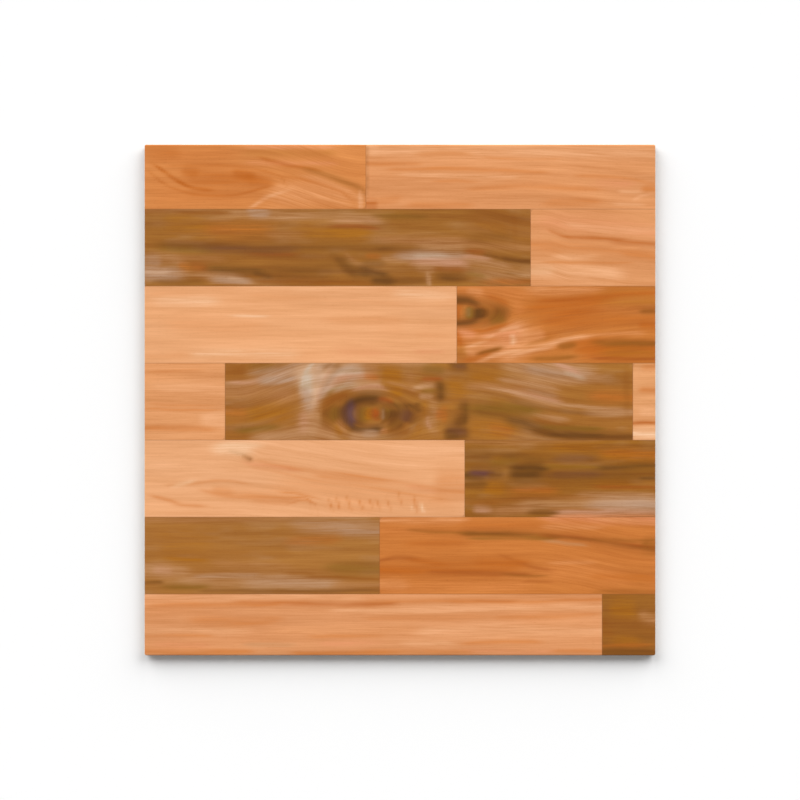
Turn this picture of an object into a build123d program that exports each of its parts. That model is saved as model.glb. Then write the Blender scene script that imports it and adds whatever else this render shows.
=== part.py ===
from build123d import *

import os

# A ceramic floor tile is one plate, pressed from powder, glazed on top and fired.
# It lies face up. The origin is the middle of its underside, on the plane of the
# back's ribs, and +Z points out of the face. All sizes are in millimetres.

# Size of the whole plate
SIDE = 450.0
THICKNESS = 8.5
CORNER_RADIUS = 1.5

# Section of the edge, from the face down to the back: the arris that the glaze
# rounds off, an upright wall, and a bevelled foot that leaves room for the grout
ARRIS_RADIUS = 1.0
BEVEL_WIDTH = 1.2
BEVEL_HEIGHT = 2.0
CREASE_RADIUS = 0.8

# Key pattern of the back: square cells with cut corners between ribs, inside a
# plain border. The adhesive grips in the cells, and the ribs carry the tile
# through the kiln.
CELLS_PER_SIDE = 12
BORDER = 9.0
RIB_WIDTH = 4.0
CELL_DEPTH = 0.9
CELL_DRAFT = 35.0
CELL_CORNER_CUT = 3.0

NODE = "floor_tile"


def outline(inset):
    """The tile's square outline, drawn in by inset from its widest section."""
    side = SIDE - 2 * inset
    return RectangleRounded(side, side, CORNER_RADIUS - inset)


def plate():
    """The plain plate: an upright wall on a bevelled foot, under a rounded arris."""
    wall = extrude(Pos(Z=BEVEL_HEIGHT) * outline(0), THICKNESS - BEVEL_HEIGHT)
    foot = loft([outline(BEVEL_WIDTH), Pos(Z=BEVEL_HEIGHT) * outline(0)], ruled=True)
    body = wall + foot
    arris = body.edges().group_by(Axis.Z)[-1]
    body = fillet(arris, ARRIS_RADIUS)
    crease = body.edges().filter_by_position(Axis.Z, BEVEL_HEIGHT, BEVEL_HEIGHT)
    return fillet(crease, CREASE_RADIUS)


def key_cell(mouth):
    """One cell of the back, as the drafted stud of the punch that presses it."""
    section = chamfer(Rectangle(mouth, mouth).vertices(), CELL_CORNER_CUT)
    return extrude(section, CELL_DEPTH, taper=CELL_DRAFT)


def floor_tile():
    """The plate, with the grid of cells pressed into its back."""
    field = SIDE - 2 * (BEVEL_WIDTH + BORDER)
    pitch = (field + RIB_WIDTH) / CELLS_PER_SIDE
    stud = key_cell(pitch - RIB_WIDTH)
    grid = GridLocations(pitch, pitch, CELLS_PER_SIDE, CELLS_PER_SIDE)
    return plate() - grid * stud


if __name__ == "__main__":
    os.makedirs("parts", exist_ok=True)
    tile = floor_tile()
    tile.label = NODE
    export_step(tile, f"parts/{NODE}.step")
    print(NODE, round(tile.volume), "mm3", tile.bounding_box().size)
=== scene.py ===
# %% [markdown]
# A ceramic floor tile with a wooden face
# The tile is one plate, pressed from powder. A printer lays a picture of wooden
# strips on it, a thin glaze goes over the print, and the kiln melts it all into
# one piece. The lesson follows that order. The imported CAD plate gives the size
# and the place, so it is loaded first.

# %% Load the frame
import math

import bmesh
import bpy
import numpy as np
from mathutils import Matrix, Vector


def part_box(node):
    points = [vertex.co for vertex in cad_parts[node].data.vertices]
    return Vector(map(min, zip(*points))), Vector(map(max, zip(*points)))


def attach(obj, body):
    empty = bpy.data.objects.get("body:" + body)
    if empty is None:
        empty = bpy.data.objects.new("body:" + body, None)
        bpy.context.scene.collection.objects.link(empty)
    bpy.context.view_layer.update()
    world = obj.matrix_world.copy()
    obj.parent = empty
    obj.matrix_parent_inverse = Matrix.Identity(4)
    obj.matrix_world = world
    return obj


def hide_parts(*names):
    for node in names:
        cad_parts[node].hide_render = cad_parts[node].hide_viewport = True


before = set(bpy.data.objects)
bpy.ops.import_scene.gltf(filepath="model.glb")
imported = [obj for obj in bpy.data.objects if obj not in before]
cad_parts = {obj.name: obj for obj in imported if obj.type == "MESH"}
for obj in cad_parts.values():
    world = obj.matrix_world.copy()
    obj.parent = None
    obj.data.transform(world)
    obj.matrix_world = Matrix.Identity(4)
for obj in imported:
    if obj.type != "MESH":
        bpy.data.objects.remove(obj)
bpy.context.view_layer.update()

NODE = "floor_tile"
MM = 0.001

low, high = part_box(NODE)
SIDE = high.x - low.x
THICKNESS = high.z - low.z
print("tile", round(SIDE / MM, 1), "mm square,", round(THICKNESS / MM, 2), "mm thick")

# %% [markdown]
# Camera
# The picture looks straight down on the tile. A long lens from far away keeps
# the four sides parallel. The distance follows from how much of the picture the
# tile fills, measured in the picture's own pixels.

# %% Camera
PICTURE = 800
TILE_IN_PICTURE = 511
LENS = 100.0
SENSOR = 36.0


def added(name, data):
    """A new object with this data, in the scene."""
    made = bpy.data.objects.new(name, data)
    bpy.context.scene.collection.objects.link(made)
    return made


view_width = SIDE * PICTURE / TILE_IN_PICTURE
camera = added("camera", bpy.data.cameras.new("camera"))
camera.data.lens = LENS
camera.data.sensor_width = SENSOR
camera.location = (0.0, 0.0, high.z + view_width * LENS / SENSOR)
bpy.context.scene.camera = camera
print("camera", round(camera.location.z, 3), "m above the floor")

# %% [markdown]
# Nodes
# A tree of nodes can be drawn by hand in Blender's editor. Written out, it can be
# read, repeated in a loop and changed in one place. Every tree in this lesson is
# built by the same few helpers. One adds a node and fills or links its inputs.
# The others are short for a single sum or product, a smooth step, and a mix of
# two colours.

# %% Helpers for node trees
def node(tree, kind, inputs=None, **settings):
    """A new node, with its settings and its inputs filled or linked."""
    made = tree.nodes.new(kind)
    for name, value in settings.items():
        setattr(made, name, value)
    for key, value in (inputs or {}).items():
        if isinstance(value, bpy.types.NodeSocket):
            tree.links.new(value, made.inputs[key])
        else:
            made.inputs[key].default_value = value
    return made


def calc(tree, operation, *terms):
    """The answer of one Math node."""
    return node(tree, "ShaderNodeMath", dict(enumerate(terms)), operation=operation).outputs[0]


def ramp(tree, value, start, end):
    """A smooth step of value, from 0 at start to 1 at end."""
    inputs = {"Value": value, "From Min": start, "From Max": end}
    step = node(tree, "ShaderNodeMapRange", inputs, interpolation_type="SMOOTHSTEP")
    return step.outputs["Result"]


def mix(tree, share, first, second, blend="MIX"):
    """Two colours mixed. The sockets of a colour mix are found by their place."""
    made = node(tree, "ShaderNodeMix", {0: share, 6: first, 7: second}, data_type="RGBA")
    made.blend_type = blend
    return made.outputs[2]


print("helpers for trees:", node.__name__, calc.__name__, ramp.__name__, mix.__name__)

# %% [markdown]
# Light and floor
# The picture's shadow is dark below the tile, lighter on its left and right, and
# hardly there above. Two broad soft lights stand low beyond the top edge, one on
# each side, and the white room fills in the rest. They are suns and not area
# lamps, because a sun lights all of the floor alike. All of it adds up to the
# level at which white paper just renders white, so a colour renders as written.

# %% Lights, room and floor
WHITE = (1, 1, 1, 1)
ROOM_LIGHT = 0.265
LAMP_HEIGHT = math.radians(22.5)
LAMP_SPREAD = math.radians(57.0)
LAMP_STRENGTH = 3.01
LAMP_TURNS = {"lamp_left": -39.5, "lamp_right": 39.5}

for name, turn in LAMP_TURNS.items():
    lamp = bpy.data.lights.new(name, "SUN")
    lamp.energy = LAMP_STRENGTH
    lamp.angle = LAMP_SPREAD
    stand = added(name, lamp)
    side = math.radians(turn)
    towards = Vector((math.sin(side), math.cos(side), math.tan(LAMP_HEIGHT)))
    stand.rotation_euler = towards.to_track_quat("Z", "Y").to_euler()

room = bpy.data.worlds.new("white_room")
room.use_nodes = True
bpy.context.scene.world = room
tree = room.node_tree
tree.nodes.clear()
rays = node(tree, "ShaderNodeLightPath")
seen = calc(tree, "MAXIMUM", rays.outputs["Is Camera Ray"], rays.outputs["Is Glossy Ray"])
seen = calc(tree, "MAXIMUM", seen, rays.outputs["Is Transmission Ray"])
lit = node(tree, "ShaderNodeBackground", {"Color": WHITE, "Strength": ROOM_LIGHT})
shown = node(tree, "ShaderNodeBackground", {"Color": WHITE, "Strength": 1.0})
both = node(tree, "ShaderNodeMixShader", {0: seen, 1: lit.outputs[0], 2: shown.outputs[0]})
node(tree, "ShaderNodeOutputWorld", {"Surface": both.outputs[0]})

FLOOR_SIDE = 60.0
bpy.ops.mesh.primitive_plane_add(size=FLOOR_SIDE, location=(0, 0, low.z))
floor = bpy.context.object
floor.name = "floor"
paper = bpy.data.materials.new("white_floor")
paper.use_nodes = True
paper_shader = paper.node_tree.nodes["Principled BSDF"]
paper_shader.inputs["Base Color"].default_value = WHITE
paper_shader.inputs["Roughness"].default_value = 1.0
paper_shader.inputs["Specular IOR Level"].default_value = 0.0
floor.data.materials.append(paper)
bpy.context.scene.view_settings.view_transform = "Standard"
print("two lamps of", LAMP_STRENGTH, "and a room of", ROOM_LIGHT)

# %% [markdown]
# The strips of the print
# The print copies a floor of narrow strips, all of one width, whose ends are
# staggered from row to row. The rows run along X. A row is cut by the tile's top
# and bottom edge, because the print is bigger than one tile. The ends of the
# strips are measured from the tile's left edge. The lines of the mesh, the strips
# and the joints all take their places from this one list, so they can't drift
# apart.

# %% Layout of the strips
STRIP_WIDTH = 67.8
FIRST_STRIP_SHOWN = 56.9
STRIP_ENDS = [(195,), (340,), (275,), (71, 430), (282,), (207,), (403,)]
SIDE_MM = SIDE / MM


def row_top(row):
    """Y in millimetres of the upper edge of a row, which may lie beyond the tile."""
    return SIDE_MM / 2 - FIRST_STRIP_SHOWN + STRIP_WIDTH * (1 - row)


row_joints = [row_top(row) for row in range(1, len(STRIP_ENDS))]
end_joints = [end - SIDE_MM / 2 for ends in STRIP_ENDS for end in ends]
print(len(row_joints), "long joints and", len(end_joints), "end joints")

# %% [markdown]
# The pressed plate, as Geometry Nodes
# The plate could be modelled by hand, but each change of size would mean doing
# it again. It follows a rule, so a tree makes it. A fine grid is the face, as
# the print is painted on its corners later. Its lines nearest the joints of the
# print move onto them, so that a strip's colour can stop sharply. The face sinks
# a little towards the edge, as a pressed face does, and ripples as glaze does.
# The rim of the grid is then extruded ring by ring, over the rounded arris, down
# the wall and round the bevelled foot. The outer two grid lines on each side
# share the arc of the corner between them, a quarter of it each.

# %% Inputs of the plate's tree
FACE_LINES_X = 200
FACE_LINES_Y = 336
ARRIS_STEPS = 5
CORNER_STEPS = 4
WELD = 0.00001

plate = bpy.data.node_groups.new("pressed_plate", "GeometryNodeTree")
plate.is_modifier = True
PLATE_SIZES = {
    "Side": SIDE,
    "Thickness": THICKNESS,
    "Corner Radius": 1.5 * MM,
    "Arris Radius": 1.0 * MM,
    "Bevel Width": 1.2 * MM,
    "Bevel Height": 2.0 * MM,
    "Crease": 0.5 * MM,
    "Roll Width": 3.0 * MM,
    "Roll Depth": 0.12 * MM,
    "Ripple Depth": 0.1 * MM,
    "Ripple Length": 28.0 * MM,
    "Border": 9.0 * MM,
    "Rib Width": 4.0 * MM,
    "Cell Depth": 0.9 * MM,
    "Cell Draft": math.radians(35.0),
    "Cell Corner": 3.6 * MM,
}
CELLS_PER_SIDE = 12
for name in PLATE_SIZES:
    plate.interface.new_socket(name=name, in_out="INPUT", socket_type="NodeSocketFloat")
for name in ("Glazed", "Bare"):
    plate.interface.new_socket(name=name, in_out="INPUT", socket_type="NodeSocketMaterial")
plate.interface.new_socket(name="Mesh", in_out="OUTPUT", socket_type="NodeSocketGeometry")
size = node(plate, "NodeGroupInput").outputs
print(len(PLATE_SIZES), "sizes drive the plate")

# %% Places of points
def snapped(tree, coordinate, lines, reach):
    """A coordinate, moved onto any of these lines that it is within reach of."""
    for line in lines:
        gap = calc(tree, "SUBTRACT", line, coordinate)
        near = calc(tree, "LESS_THAN", calc(tree, "ABSOLUTE", gap), reach)
        coordinate = calc(tree, "ADD", coordinate, calc(tree, "MULTIPLY", near, gap))
    return coordinate


def beyond(tree, coordinate, bound):
    """How far a coordinate is outside plus or minus bound, with its sign."""
    over = calc(tree, "SUBTRACT", calc(tree, "ABSOLUTE", coordinate), bound)
    over = calc(tree, "MAXIMUM", over, 0.0)
    return calc(tree, "MULTIPLY", over, calc(tree, "SIGN", coordinate))


def moved(tree, mesh, x, y, z, selection=True):
    """The mesh with the selected points at this place."""
    place = node(tree, "ShaderNodeCombineXYZ", {0: x, 1: y, 2: z}).outputs[0]
    inputs = {"Geometry": mesh, "Selection": selection, "Position": place}
    return node(tree, "GeometryNodeSetPosition", inputs).outputs[0]


def place_of(tree):
    """X, Y and Z of each point as it is where this is used."""
    position = node(tree, "GeometryNodeInputPosition").outputs[0]
    return node(tree, "ShaderNodeSeparateXYZ", {0: position}).outputs


print("helpers for places:", snapped.__name__, beyond.__name__, moved.__name__, place_of.__name__)

# %% The face, with grid lines on the print's joints
# Half the way out becomes the tangent of 22.5 degrees and all the way that of 45,
# so that the two outer lines cut the arc of a corner into four equal parts
EVEN_ARC = math.log(math.tan(math.pi / 8), 0.5)

half_side = calc(plate, "MULTIPLY", size["Side"], 0.5)
face_half = calc(plate, "SUBTRACT", half_side, size["Arris Radius"])
arc_centre = calc(plate, "SUBTRACT", half_side, size["Corner Radius"])
arc_radius = calc(plate, "SUBTRACT", face_half, arc_centre)


def line_step(count):
    """Distance of the grid's lines, if the third from either end is at the arcs' centre."""
    return calc(plate, "DIVIDE", calc(plate, "MULTIPLY", arc_centre, 2.0), count - 5)


def drawn_in(coordinate, step):
    """The two outer lines of the grid, drawn in to where the arris begins."""
    over = beyond(plate, coordinate, arc_centre)
    over = calc(plate, "DIVIDE", calc(plate, "ABSOLUTE", over), calc(plate, "MULTIPLY", step, 2.0))
    out = calc(plate, "MULTIPLY", calc(plate, "POWER", over, EVEN_ARC), arc_radius)
    inner = calc(plate, "MINIMUM", calc(plate, "ABSOLUTE", coordinate), arc_centre)
    return calc(plate, "MULTIPLY", calc(plate, "ADD", inner, out), calc(plate, "SIGN", coordinate))


step_x, step_y = line_step(FACE_LINES_X), line_step(FACE_LINES_Y)
inputs = {
    "Size X": calc(plate, "MULTIPLY", step_x, FACE_LINES_X - 1),
    "Size Y": calc(plate, "MULTIPLY", step_y, FACE_LINES_Y - 1),
    "Vertices X": FACE_LINES_X,
    "Vertices Y": FACE_LINES_Y,
}
mesh = node(plate, "GeometryNodeMeshGrid", inputs).outputs["Mesh"]
x, y, z = place_of(plate)
x = snapped(plate, x, [joint * MM for joint in end_joints], calc(plate, "MULTIPLY", step_x, 0.5))
y = snapped(plate, y, [joint * MM for joint in row_joints], calc(plate, "MULTIPLY", step_y, 0.5))
mesh = moved(plate, mesh, drawn_in(x, step_x), drawn_in(y, step_y), size["Thickness"])
print("face of", FACE_LINES_X, "by", FACE_LINES_Y, "grid lines")

# %% Rounded corners in plan, rolled edges and rippled glaze
RIPPLE_START = 0.4
RIPPLE_DETAIL = 2.0

x, y, z = place_of(plate)
corner_x = beyond(plate, x, arc_centre)
corner_y = beyond(plate, y, arc_centre)
longer = calc(plate, "MAXIMUM", calc(plate, "ABSOLUTE", corner_x), calc(plate, "ABSOLUTE", corner_y))
squares = [calc(plate, "MULTIPLY", part, part) for part in (corner_x, corner_y)]
slant = calc(plate, "SQRT", calc(plate, "ADD", *squares))
excess = calc(plate, "SUBTRACT", 1.0, calc(plate, "DIVIDE", longer, slant))
round_x = calc(plate, "SUBTRACT", x, calc(plate, "MULTIPLY", corner_x, excess))
round_y = calc(plate, "SUBTRACT", y, calc(plate, "MULTIPLY", corner_y, excess))
mesh = moved(plate, mesh, round_x, round_y, z, calc(plate, "GREATER_THAN", slant, WELD))

x, y, z = place_of(plate)
outermost = calc(plate, "MAXIMUM", calc(plate, "ABSOLUTE", x), calc(plate, "ABSOLUTE", y))
inside = calc(plate, "DIVIDE", calc(plate, "SUBTRACT", face_half, outermost), size["Roll Width"])
roll = calc(plate, "MAXIMUM", calc(plate, "SUBTRACT", 1.0, inside), 0.0)
sink = calc(plate, "MULTIPLY", calc(plate, "MULTIPLY", roll, roll), size["Roll Depth"])
ripple = node(plate, "ShaderNodeTexNoise", {"Scale": calc(plate, "DIVIDE", 1.0, size["Ripple Length"])})
ripple.inputs["Detail"].default_value = RIPPLE_DETAIL
swell = calc(plate, "MAXIMUM", calc(plate, "SUBTRACT", ripple.outputs[0], RIPPLE_START), 0.0)
sink = calc(plate, "ADD", sink, calc(plate, "MULTIPLY", swell, size["Ripple Depth"]))
mesh = moved(plate, mesh, x, y, calc(plate, "SUBTRACT", z, sink))
print("the face rolls off by", round(PLATE_SIZES["Roll Depth"] / MM, 2), "mm at its edge")

# %% The place of the rim, and which way is out
x, y, z = place_of(plate)
out_x = beyond(plate, x, arc_centre)
out_y = beyond(plate, y, arc_centre)
outward = node(plate, "ShaderNodeCombineXYZ", {0: out_x, 1: out_y}).outputs[0]
outward = node(plate, "ShaderNodeVectorMath", {0: outward}, operation="NORMALIZE").outputs[0]
position = node(plate, "GeometryNodeInputPosition").outputs[0]
for name, value in (("outward", outward), ("rim", position)):
    inputs = {"Geometry": mesh, "Name": name, "Value": value}
    kept = node(plate, "GeometryNodeStoreNamedAttribute", inputs, data_type="FLOAT_VECTOR", domain="POINT")
    mesh = kept.outputs[0]

named = {
    name: node(plate, "GeometryNodeInputNamedAttribute", {"Name": name}, data_type="FLOAT_VECTOR")
    for name in ("outward", "rim")
}
rim_x, rim_y, rim_z = node(plate, "ShaderNodeSeparateXYZ", {0: named["rim"].outputs[0]}).outputs
direction = node(plate, "ShaderNodeSeparateXYZ", {0: named["outward"].outputs[0]}).outputs
print("each point of the rim keeps:", *named)

# %% The edge, ring by ring
CREASE_PART = 0.12

foot_top = size["Bevel Height"]
rings = []
for k in range(1, ARRIS_STEPS + 1):
    angle = math.pi / 2 * k / ARRIS_STEPS
    out = calc(plate, "MULTIPLY", size["Arris Radius"], math.sin(angle))
    down = calc(plate, "MULTIPLY", size["Arris Radius"], 1.0 - math.cos(angle))
    rings.append((out, calc(plate, "SUBTRACT", rim_z, down)))
rings.append((size["Arris Radius"], calc(plate, "ADD", foot_top, size["Crease"])))
crease_in = calc(plate, "MULTIPLY", size["Crease"], CREASE_PART)
rings.append((calc(plate, "SUBTRACT", size["Arris Radius"], crease_in), foot_top))
crease_foot = calc(plate, "SUBTRACT", foot_top, size["Crease"])
lean = calc(plate, "DIVIDE", size["Bevel Width"], size["Bevel Height"])
foot_in = calc(plate, "MULTIPLY", lean, size["Crease"])
rings.append((calc(plate, "SUBTRACT", size["Arris Radius"], foot_in), crease_foot))
rings.append((calc(plate, "SUBTRACT", size["Arris Radius"], size["Bevel Width"]), 0.0))

faces_beside = node(plate, "GeometryNodeInputMeshEdgeNeighbors").outputs[0]
rim_edges = calc(plate, "COMPARE", faces_beside, 1.0, 0.1)
for out, ring_z in rings:
    inputs = {"Mesh": mesh, "Selection": rim_edges, "Offset Scale": 0.0}
    pulled = node(plate, "GeometryNodeExtrudeMesh", inputs, mode="EDGES")
    rim_edges = pulled.outputs["Top"]
    ring_x = calc(plate, "ADD", rim_x, calc(plate, "MULTIPLY", direction[0], out))
    ring_y = calc(plate, "ADD", rim_y, calc(plate, "MULTIPLY", direction[1], out))
    mesh = moved(plate, pulled.outputs["Mesh"], ring_x, ring_y, ring_z, rim_edges)
face_and_edge = mesh
foot_ring = node(plate, "GeometryNodeMeshToCurve", {"Mesh": mesh, "Selection": rim_edges}).outputs[0]
print(len(rings), "rings from the face to the foot")

# %% [markdown]
# The key pattern of the back
# Rows of shallow cells are pressed into the back, so that the adhesive grips.
# They could be cut out one by one with a Boolean, but all of them are alike. So
# one cell is made at the origin from its rounded outline: a soft lip, a drafted
# wall and a flat floor. Each ring of the wall is a share of the wall's run and of
# the cell's depth. The cell is then placed on a grid of points. The same outline,
# on the same points, cuts the holes of the flat ribs, so the two weld exactly.

# %% One cell
foot_side = calc(plate, "SUBTRACT", size["Side"], calc(plate, "MULTIPLY", size["Bevel Width"], 2.0))
field = calc(plate, "SUBTRACT", foot_side, calc(plate, "MULTIPLY", size["Border"], 2.0))
pitch = calc(plate, "DIVIDE", calc(plate, "ADD", field, size["Rib Width"]), CELLS_PER_SIDE)
mouth = calc(plate, "SUBTRACT", pitch, size["Rib Width"])
square = node(plate, "GeometryNodeCurvePrimitiveQuadrilateral", {"Width": mouth, "Height": mouth})
inputs = {"Curve": square.outputs[0], "Radius": size["Cell Corner"], "Count": CORNER_STEPS}
outline = node(plate, "GeometryNodeFilletCurve", inputs, mode="POLY").outputs[0]

half_mouth = calc(plate, "MULTIPLY", mouth, 0.5)
wall_run = calc(plate, "MULTIPLY", size["Cell Depth"], calc(plate, "TANGENT", size["Cell Draft"]))
CELL_RINGS = ((0.25, 0.12), (0.45, 0.45), (0.85, 0.88), (1.15, 1.0))
cell = node(plate, "GeometryNodeCurveToMesh", {"Curve": outline}).outputs[0]
cell_edges = True
previous = 1.0
for run, depth in CELL_RINGS:
    inputs = {"Mesh": cell, "Selection": cell_edges, "Offset Scale": 0.0}
    pulled = node(plate, "GeometryNodeExtrudeMesh", inputs, mode="EDGES")
    cell_edges = pulled.outputs["Top"]
    inset = calc(plate, "MULTIPLY", wall_run, run)
    scale = calc(plate, "SUBTRACT", 1.0, calc(plate, "DIVIDE", inset, half_mouth))
    part = calc(plate, "DIVIDE", scale, previous)
    previous = scale
    x, y, z = place_of(plate)
    ring_x = calc(plate, "MULTIPLY", x, part)
    ring_y = calc(plate, "MULTIPLY", y, part)
    ring_z = calc(plate, "MULTIPLY", size["Cell Depth"], depth)
    cell = moved(plate, pulled.outputs["Mesh"], ring_x, ring_y, ring_z, cell_edges)
floor_ring = node(plate, "GeometryNodeMeshToCurve", {"Mesh": cell, "Selection": cell_edges}).outputs[0]
cell_floor = node(plate, "GeometryNodeFillCurve", {"Curve": floor_ring}, mode="TRIANGLES").outputs[0]
lift = node(plate, "ShaderNodeCombineXYZ", {2: size["Cell Depth"]}).outputs[0]
lifted = {"Geometry": cell_floor, "Translation": lift}
cell_floor = node(plate, "GeometryNodeTransform", lifted).outputs[0]
print("a cell of", len(CELL_RINGS), "rings and a flat floor")

# %% The grid of cells, and the ribs between
def joined(tree, *parts):
    """Several geometries as one."""
    made = tree.nodes.new("GeometryNodeJoinGeometry")
    for part in reversed(parts):
        tree.links.new(part, made.inputs[0])
    return made.outputs[0]


def on_grid(tree, shape):
    """The shape at every cell of the back, made real."""
    across = calc(tree, "MULTIPLY", pitch, CELLS_PER_SIDE - 1)
    sizes = {"Size X": across, "Size Y": across}
    counts = {"Vertices X": CELLS_PER_SIDE, "Vertices Y": CELLS_PER_SIDE}
    points = node(tree, "GeometryNodeMeshGrid", sizes | counts).outputs["Mesh"]
    placed = node(tree, "GeometryNodeInstanceOnPoints", {"Points": points, "Instance": shape})
    return node(tree, "GeometryNodeRealizeInstances", {"Geometry": placed.outputs[0]}).outputs[0]


cells = on_grid(plate, joined(plate, cell, cell_floor))
outlines = joined(plate, foot_ring, on_grid(plate, outline))
ribs = node(plate, "GeometryNodeFillCurve", {"Curve": outlines}, mode="TRIANGLES").outputs[0]
print(CELLS_PER_SIDE * CELLS_PER_SIDE, "cells in the back")

# %% Weld the parts, and say what is smooth and what is glazed
whole = joined(plate, face_and_edge, ribs, cells)
whole = node(plate, "GeometryNodeMergeByDistance", {"Geometry": whole, "Distance": WELD}).outputs[0]
for name in ("outward", "rim"):
    inputs = {"Geometry": whole, "Name": name}
    whole = node(plate, "GeometryNodeRemoveAttribute", inputs).outputs[0]
whole = node(plate, "GeometryNodeRealizeInstances", {"Geometry": whole}).outputs[0]
whole = node(plate, "GeometryNodeSetMaterial", {"Geometry": whole, "Material": size["Glazed"]}).outputs[0]
x, y, z = place_of(plate)
is_bare = calc(plate, "LESS_THAN", z, foot_top)
inputs = {"Geometry": whole, "Selection": is_bare, "Material": size["Bare"]}
whole = node(plate, "GeometryNodeSetMaterial", inputs).outputs[0]
node(plate, "NodeGroupOutput", {"Mesh": whole})
print("the plate's tree has", len(plate.nodes), "nodes")

# %% [markdown]
# From tree to mesh
# The tree runs as a modifier on an empty mesh. Its result is copied to a plain
# mesh, because the piece must not keep live modifiers, and the empty material
# slot of the blank is dropped. The faces are turned to point outwards, and edges
# sharper than a limit stay sharp in the shading.

# %% Run the tree
glazed = bpy.data.materials.new("printed_glaze")
bare = bpy.data.materials.new("fired_clay")
SHARP = math.radians(24.0)

blank = added("blank", bpy.data.meshes.new("blank"))
press = blank.modifiers.new("pressed_plate", "NODES")
press.node_group = plate
values = PLATE_SIZES | {"Glazed": glazed, "Bare": bare}
for socket in plate.interface.items_tree:
    if socket.in_out == "INPUT":
        press[socket.identifier] = values[socket.name]
graph = bpy.context.evaluated_depsgraph_get()
mesh = bpy.data.meshes.new_from_object(blank.evaluated_get(graph), depsgraph=graph)
bpy.data.objects.remove(blank)
mesh.materials.pop(index=0)

work = bmesh.new()
work.from_mesh(mesh)
bmesh.ops.recalc_face_normals(work, faces=work.faces)
open_edges = sum(len(edge.link_faces) != 2 for edge in work.edges)
for edge in work.edges:
    edge.smooth = len(edge.link_faces) == 2 and edge.calc_face_angle() < SHARP
for face in work.faces:
    face.smooth = True
work.to_mesh(mesh)
work.free()
mesh.name = "tile"
tile = added("tile", mesh)
mesh.calc_loop_triangles()
print(len(mesh.loop_triangles), "triangles,", open_edges, "open edges")
print("slots:", [material.name for material in mesh.materials])

# %% [markdown]
# The print
# The print could be an image, but that is one more file to keep, and no number in
# a script changes it. So the wood is drawn here with strokes, strip by strip. A
# strip has a ground tone, and on it lie marks: long dark lines, pale bands, grey
# bloom, the rings of a knot. A mark is a soft stroke through a few points. Each
# point is given as millimetres from the tile's left edge and from the strip's own
# upper edge, and each mark has a strength and a half width. The colours are a
# small palette of wood stains, as the screen shows them.

# %% Palette of the print
PALETTE = {
    "cream": (248, 202, 162),
    "peach": (241, 178, 131),
    "apricot": (232, 160, 108),
    "salmon": (227, 148, 104),
    "amber": (212, 131, 73),
    "rust": (190, 105, 48),
    "brick": (160, 84, 44),
    "golden": (168, 106, 42),
    "brown": (153, 94, 46),
    "olive": (138, 98, 46),
    "bark": (124, 80, 44),
    "umber": (98, 66, 40),
    "plum": (108, 71, 62),
    "violet": (98, 72, 78),
    "tan": (178, 123, 78),
    "fawn": (190, 140, 98),
    "dove": (188, 151, 124),
    "blush": (205, 151, 120),
    "shell": (216, 173, 138),
    "frost": (207, 186, 164),
}
print(len(PALETTE), "stains")

# %% [markdown]
# How a strip is drawn
# The grain of a strip runs along it, but sinks or rises where the board was cut
# across the rings. "falls" says where: from here to there the grain sinks by so
# many millimetres. It also flows round a knot, as water flows round a stone.
# "bloom" is how strongly a pale haze lies on a dark strip, in patches. Marks are
# drawn in their order, so the broad patches of a strip come first.

# %% One strip
strips = []


def draw_strip(row, place, tone, grain, marks, falls=(), knots=(), bloom=0.0):
    """Keep one strip of the print for the painter. Place 0 is the first of its row."""
    start, end = [0, *STRIP_ENDS[row], round(SIDE_MM)][place:place + 2]
    strips.append({
        "row": row, "start": start, "end": end, "tone": tone, "grain": grain,
        "marks": marks, "falls": falls, "knots": knots, "bloom": bloom,
    })
    print("row", row, "from", start, "to", end, "mm:", len(marks), "marks")


# %% Top row: an amber strip with a dark lens
draw_strip(0, 0, (214, 137, 79), 0.8, falls=[(95, 195, 24)], marks=[
    ("amber", 0.6, 9, (4, 20), (80, 21)),
    ("rust", 0.3, 5, (0, 16), (30, 18)),
    ("apricot", 0.5, 8, (108, 60), (150, 57), (185, 62)),
    ("apricot", 0.4, 5, (112, 50), (150, 47), (180, 57)),
    ("amber", 0.5, 8, (4, 58), (80, 58)),
    ("rust", 0.55, 8, (36, 39), (70, 42), (106, 43)),
    ("rust", 0.5, 3.5, (33, 34), (47, 36)),
    ("rust", 0.75, 3.5, (78, 36), (97, 39)),
    ("rust", 0.6, 3, (90, 43), (114, 45)),
    ("rust", 0.85, 1.5, (8, 28), (20, 37), (30, 43), (42, 49), (60, 51)),
    ("rust", 0.45, 1.3, (3, 34), (15, 44), (30, 51), (48, 55), (80, 55), (110, 48)),
    ("rust", 0.35, 1.2, (20, 30), (50, 29), (90, 31), (118, 38), (124, 46)),
    ("rust", 0.7, 1.6, (102, 23), (125, 29), (140, 31), (154, 34)),
    ("brown", 0.5, 2.8, (140, 32), (152, 35.5), (165, 39.5), (178, 44), (188, 48.5), (197, 54)),
    ("apricot", 0.5, 1.7, (140, 38), (150, 41), (165, 46), (180, 52), (190, 58)),
    ("rust", 0.35, 1.2, (120, 38), (150, 44), (172, 52), (184, 61)),
    ("peach", 0.5, 1.6, (94, 66), (108, 58), (128, 51)),
    ("golden", 0.25, 3, (88, 19), (168, 19)),
    ("salmon", 0.5, 2, (88, 13), (168, 13)),
    ("salmon", 0.4, 2, (90, 27), (168, 28)),
    ("peach", 0.7, 1.9, (190, 52), (190.5, 67)),
])

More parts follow.
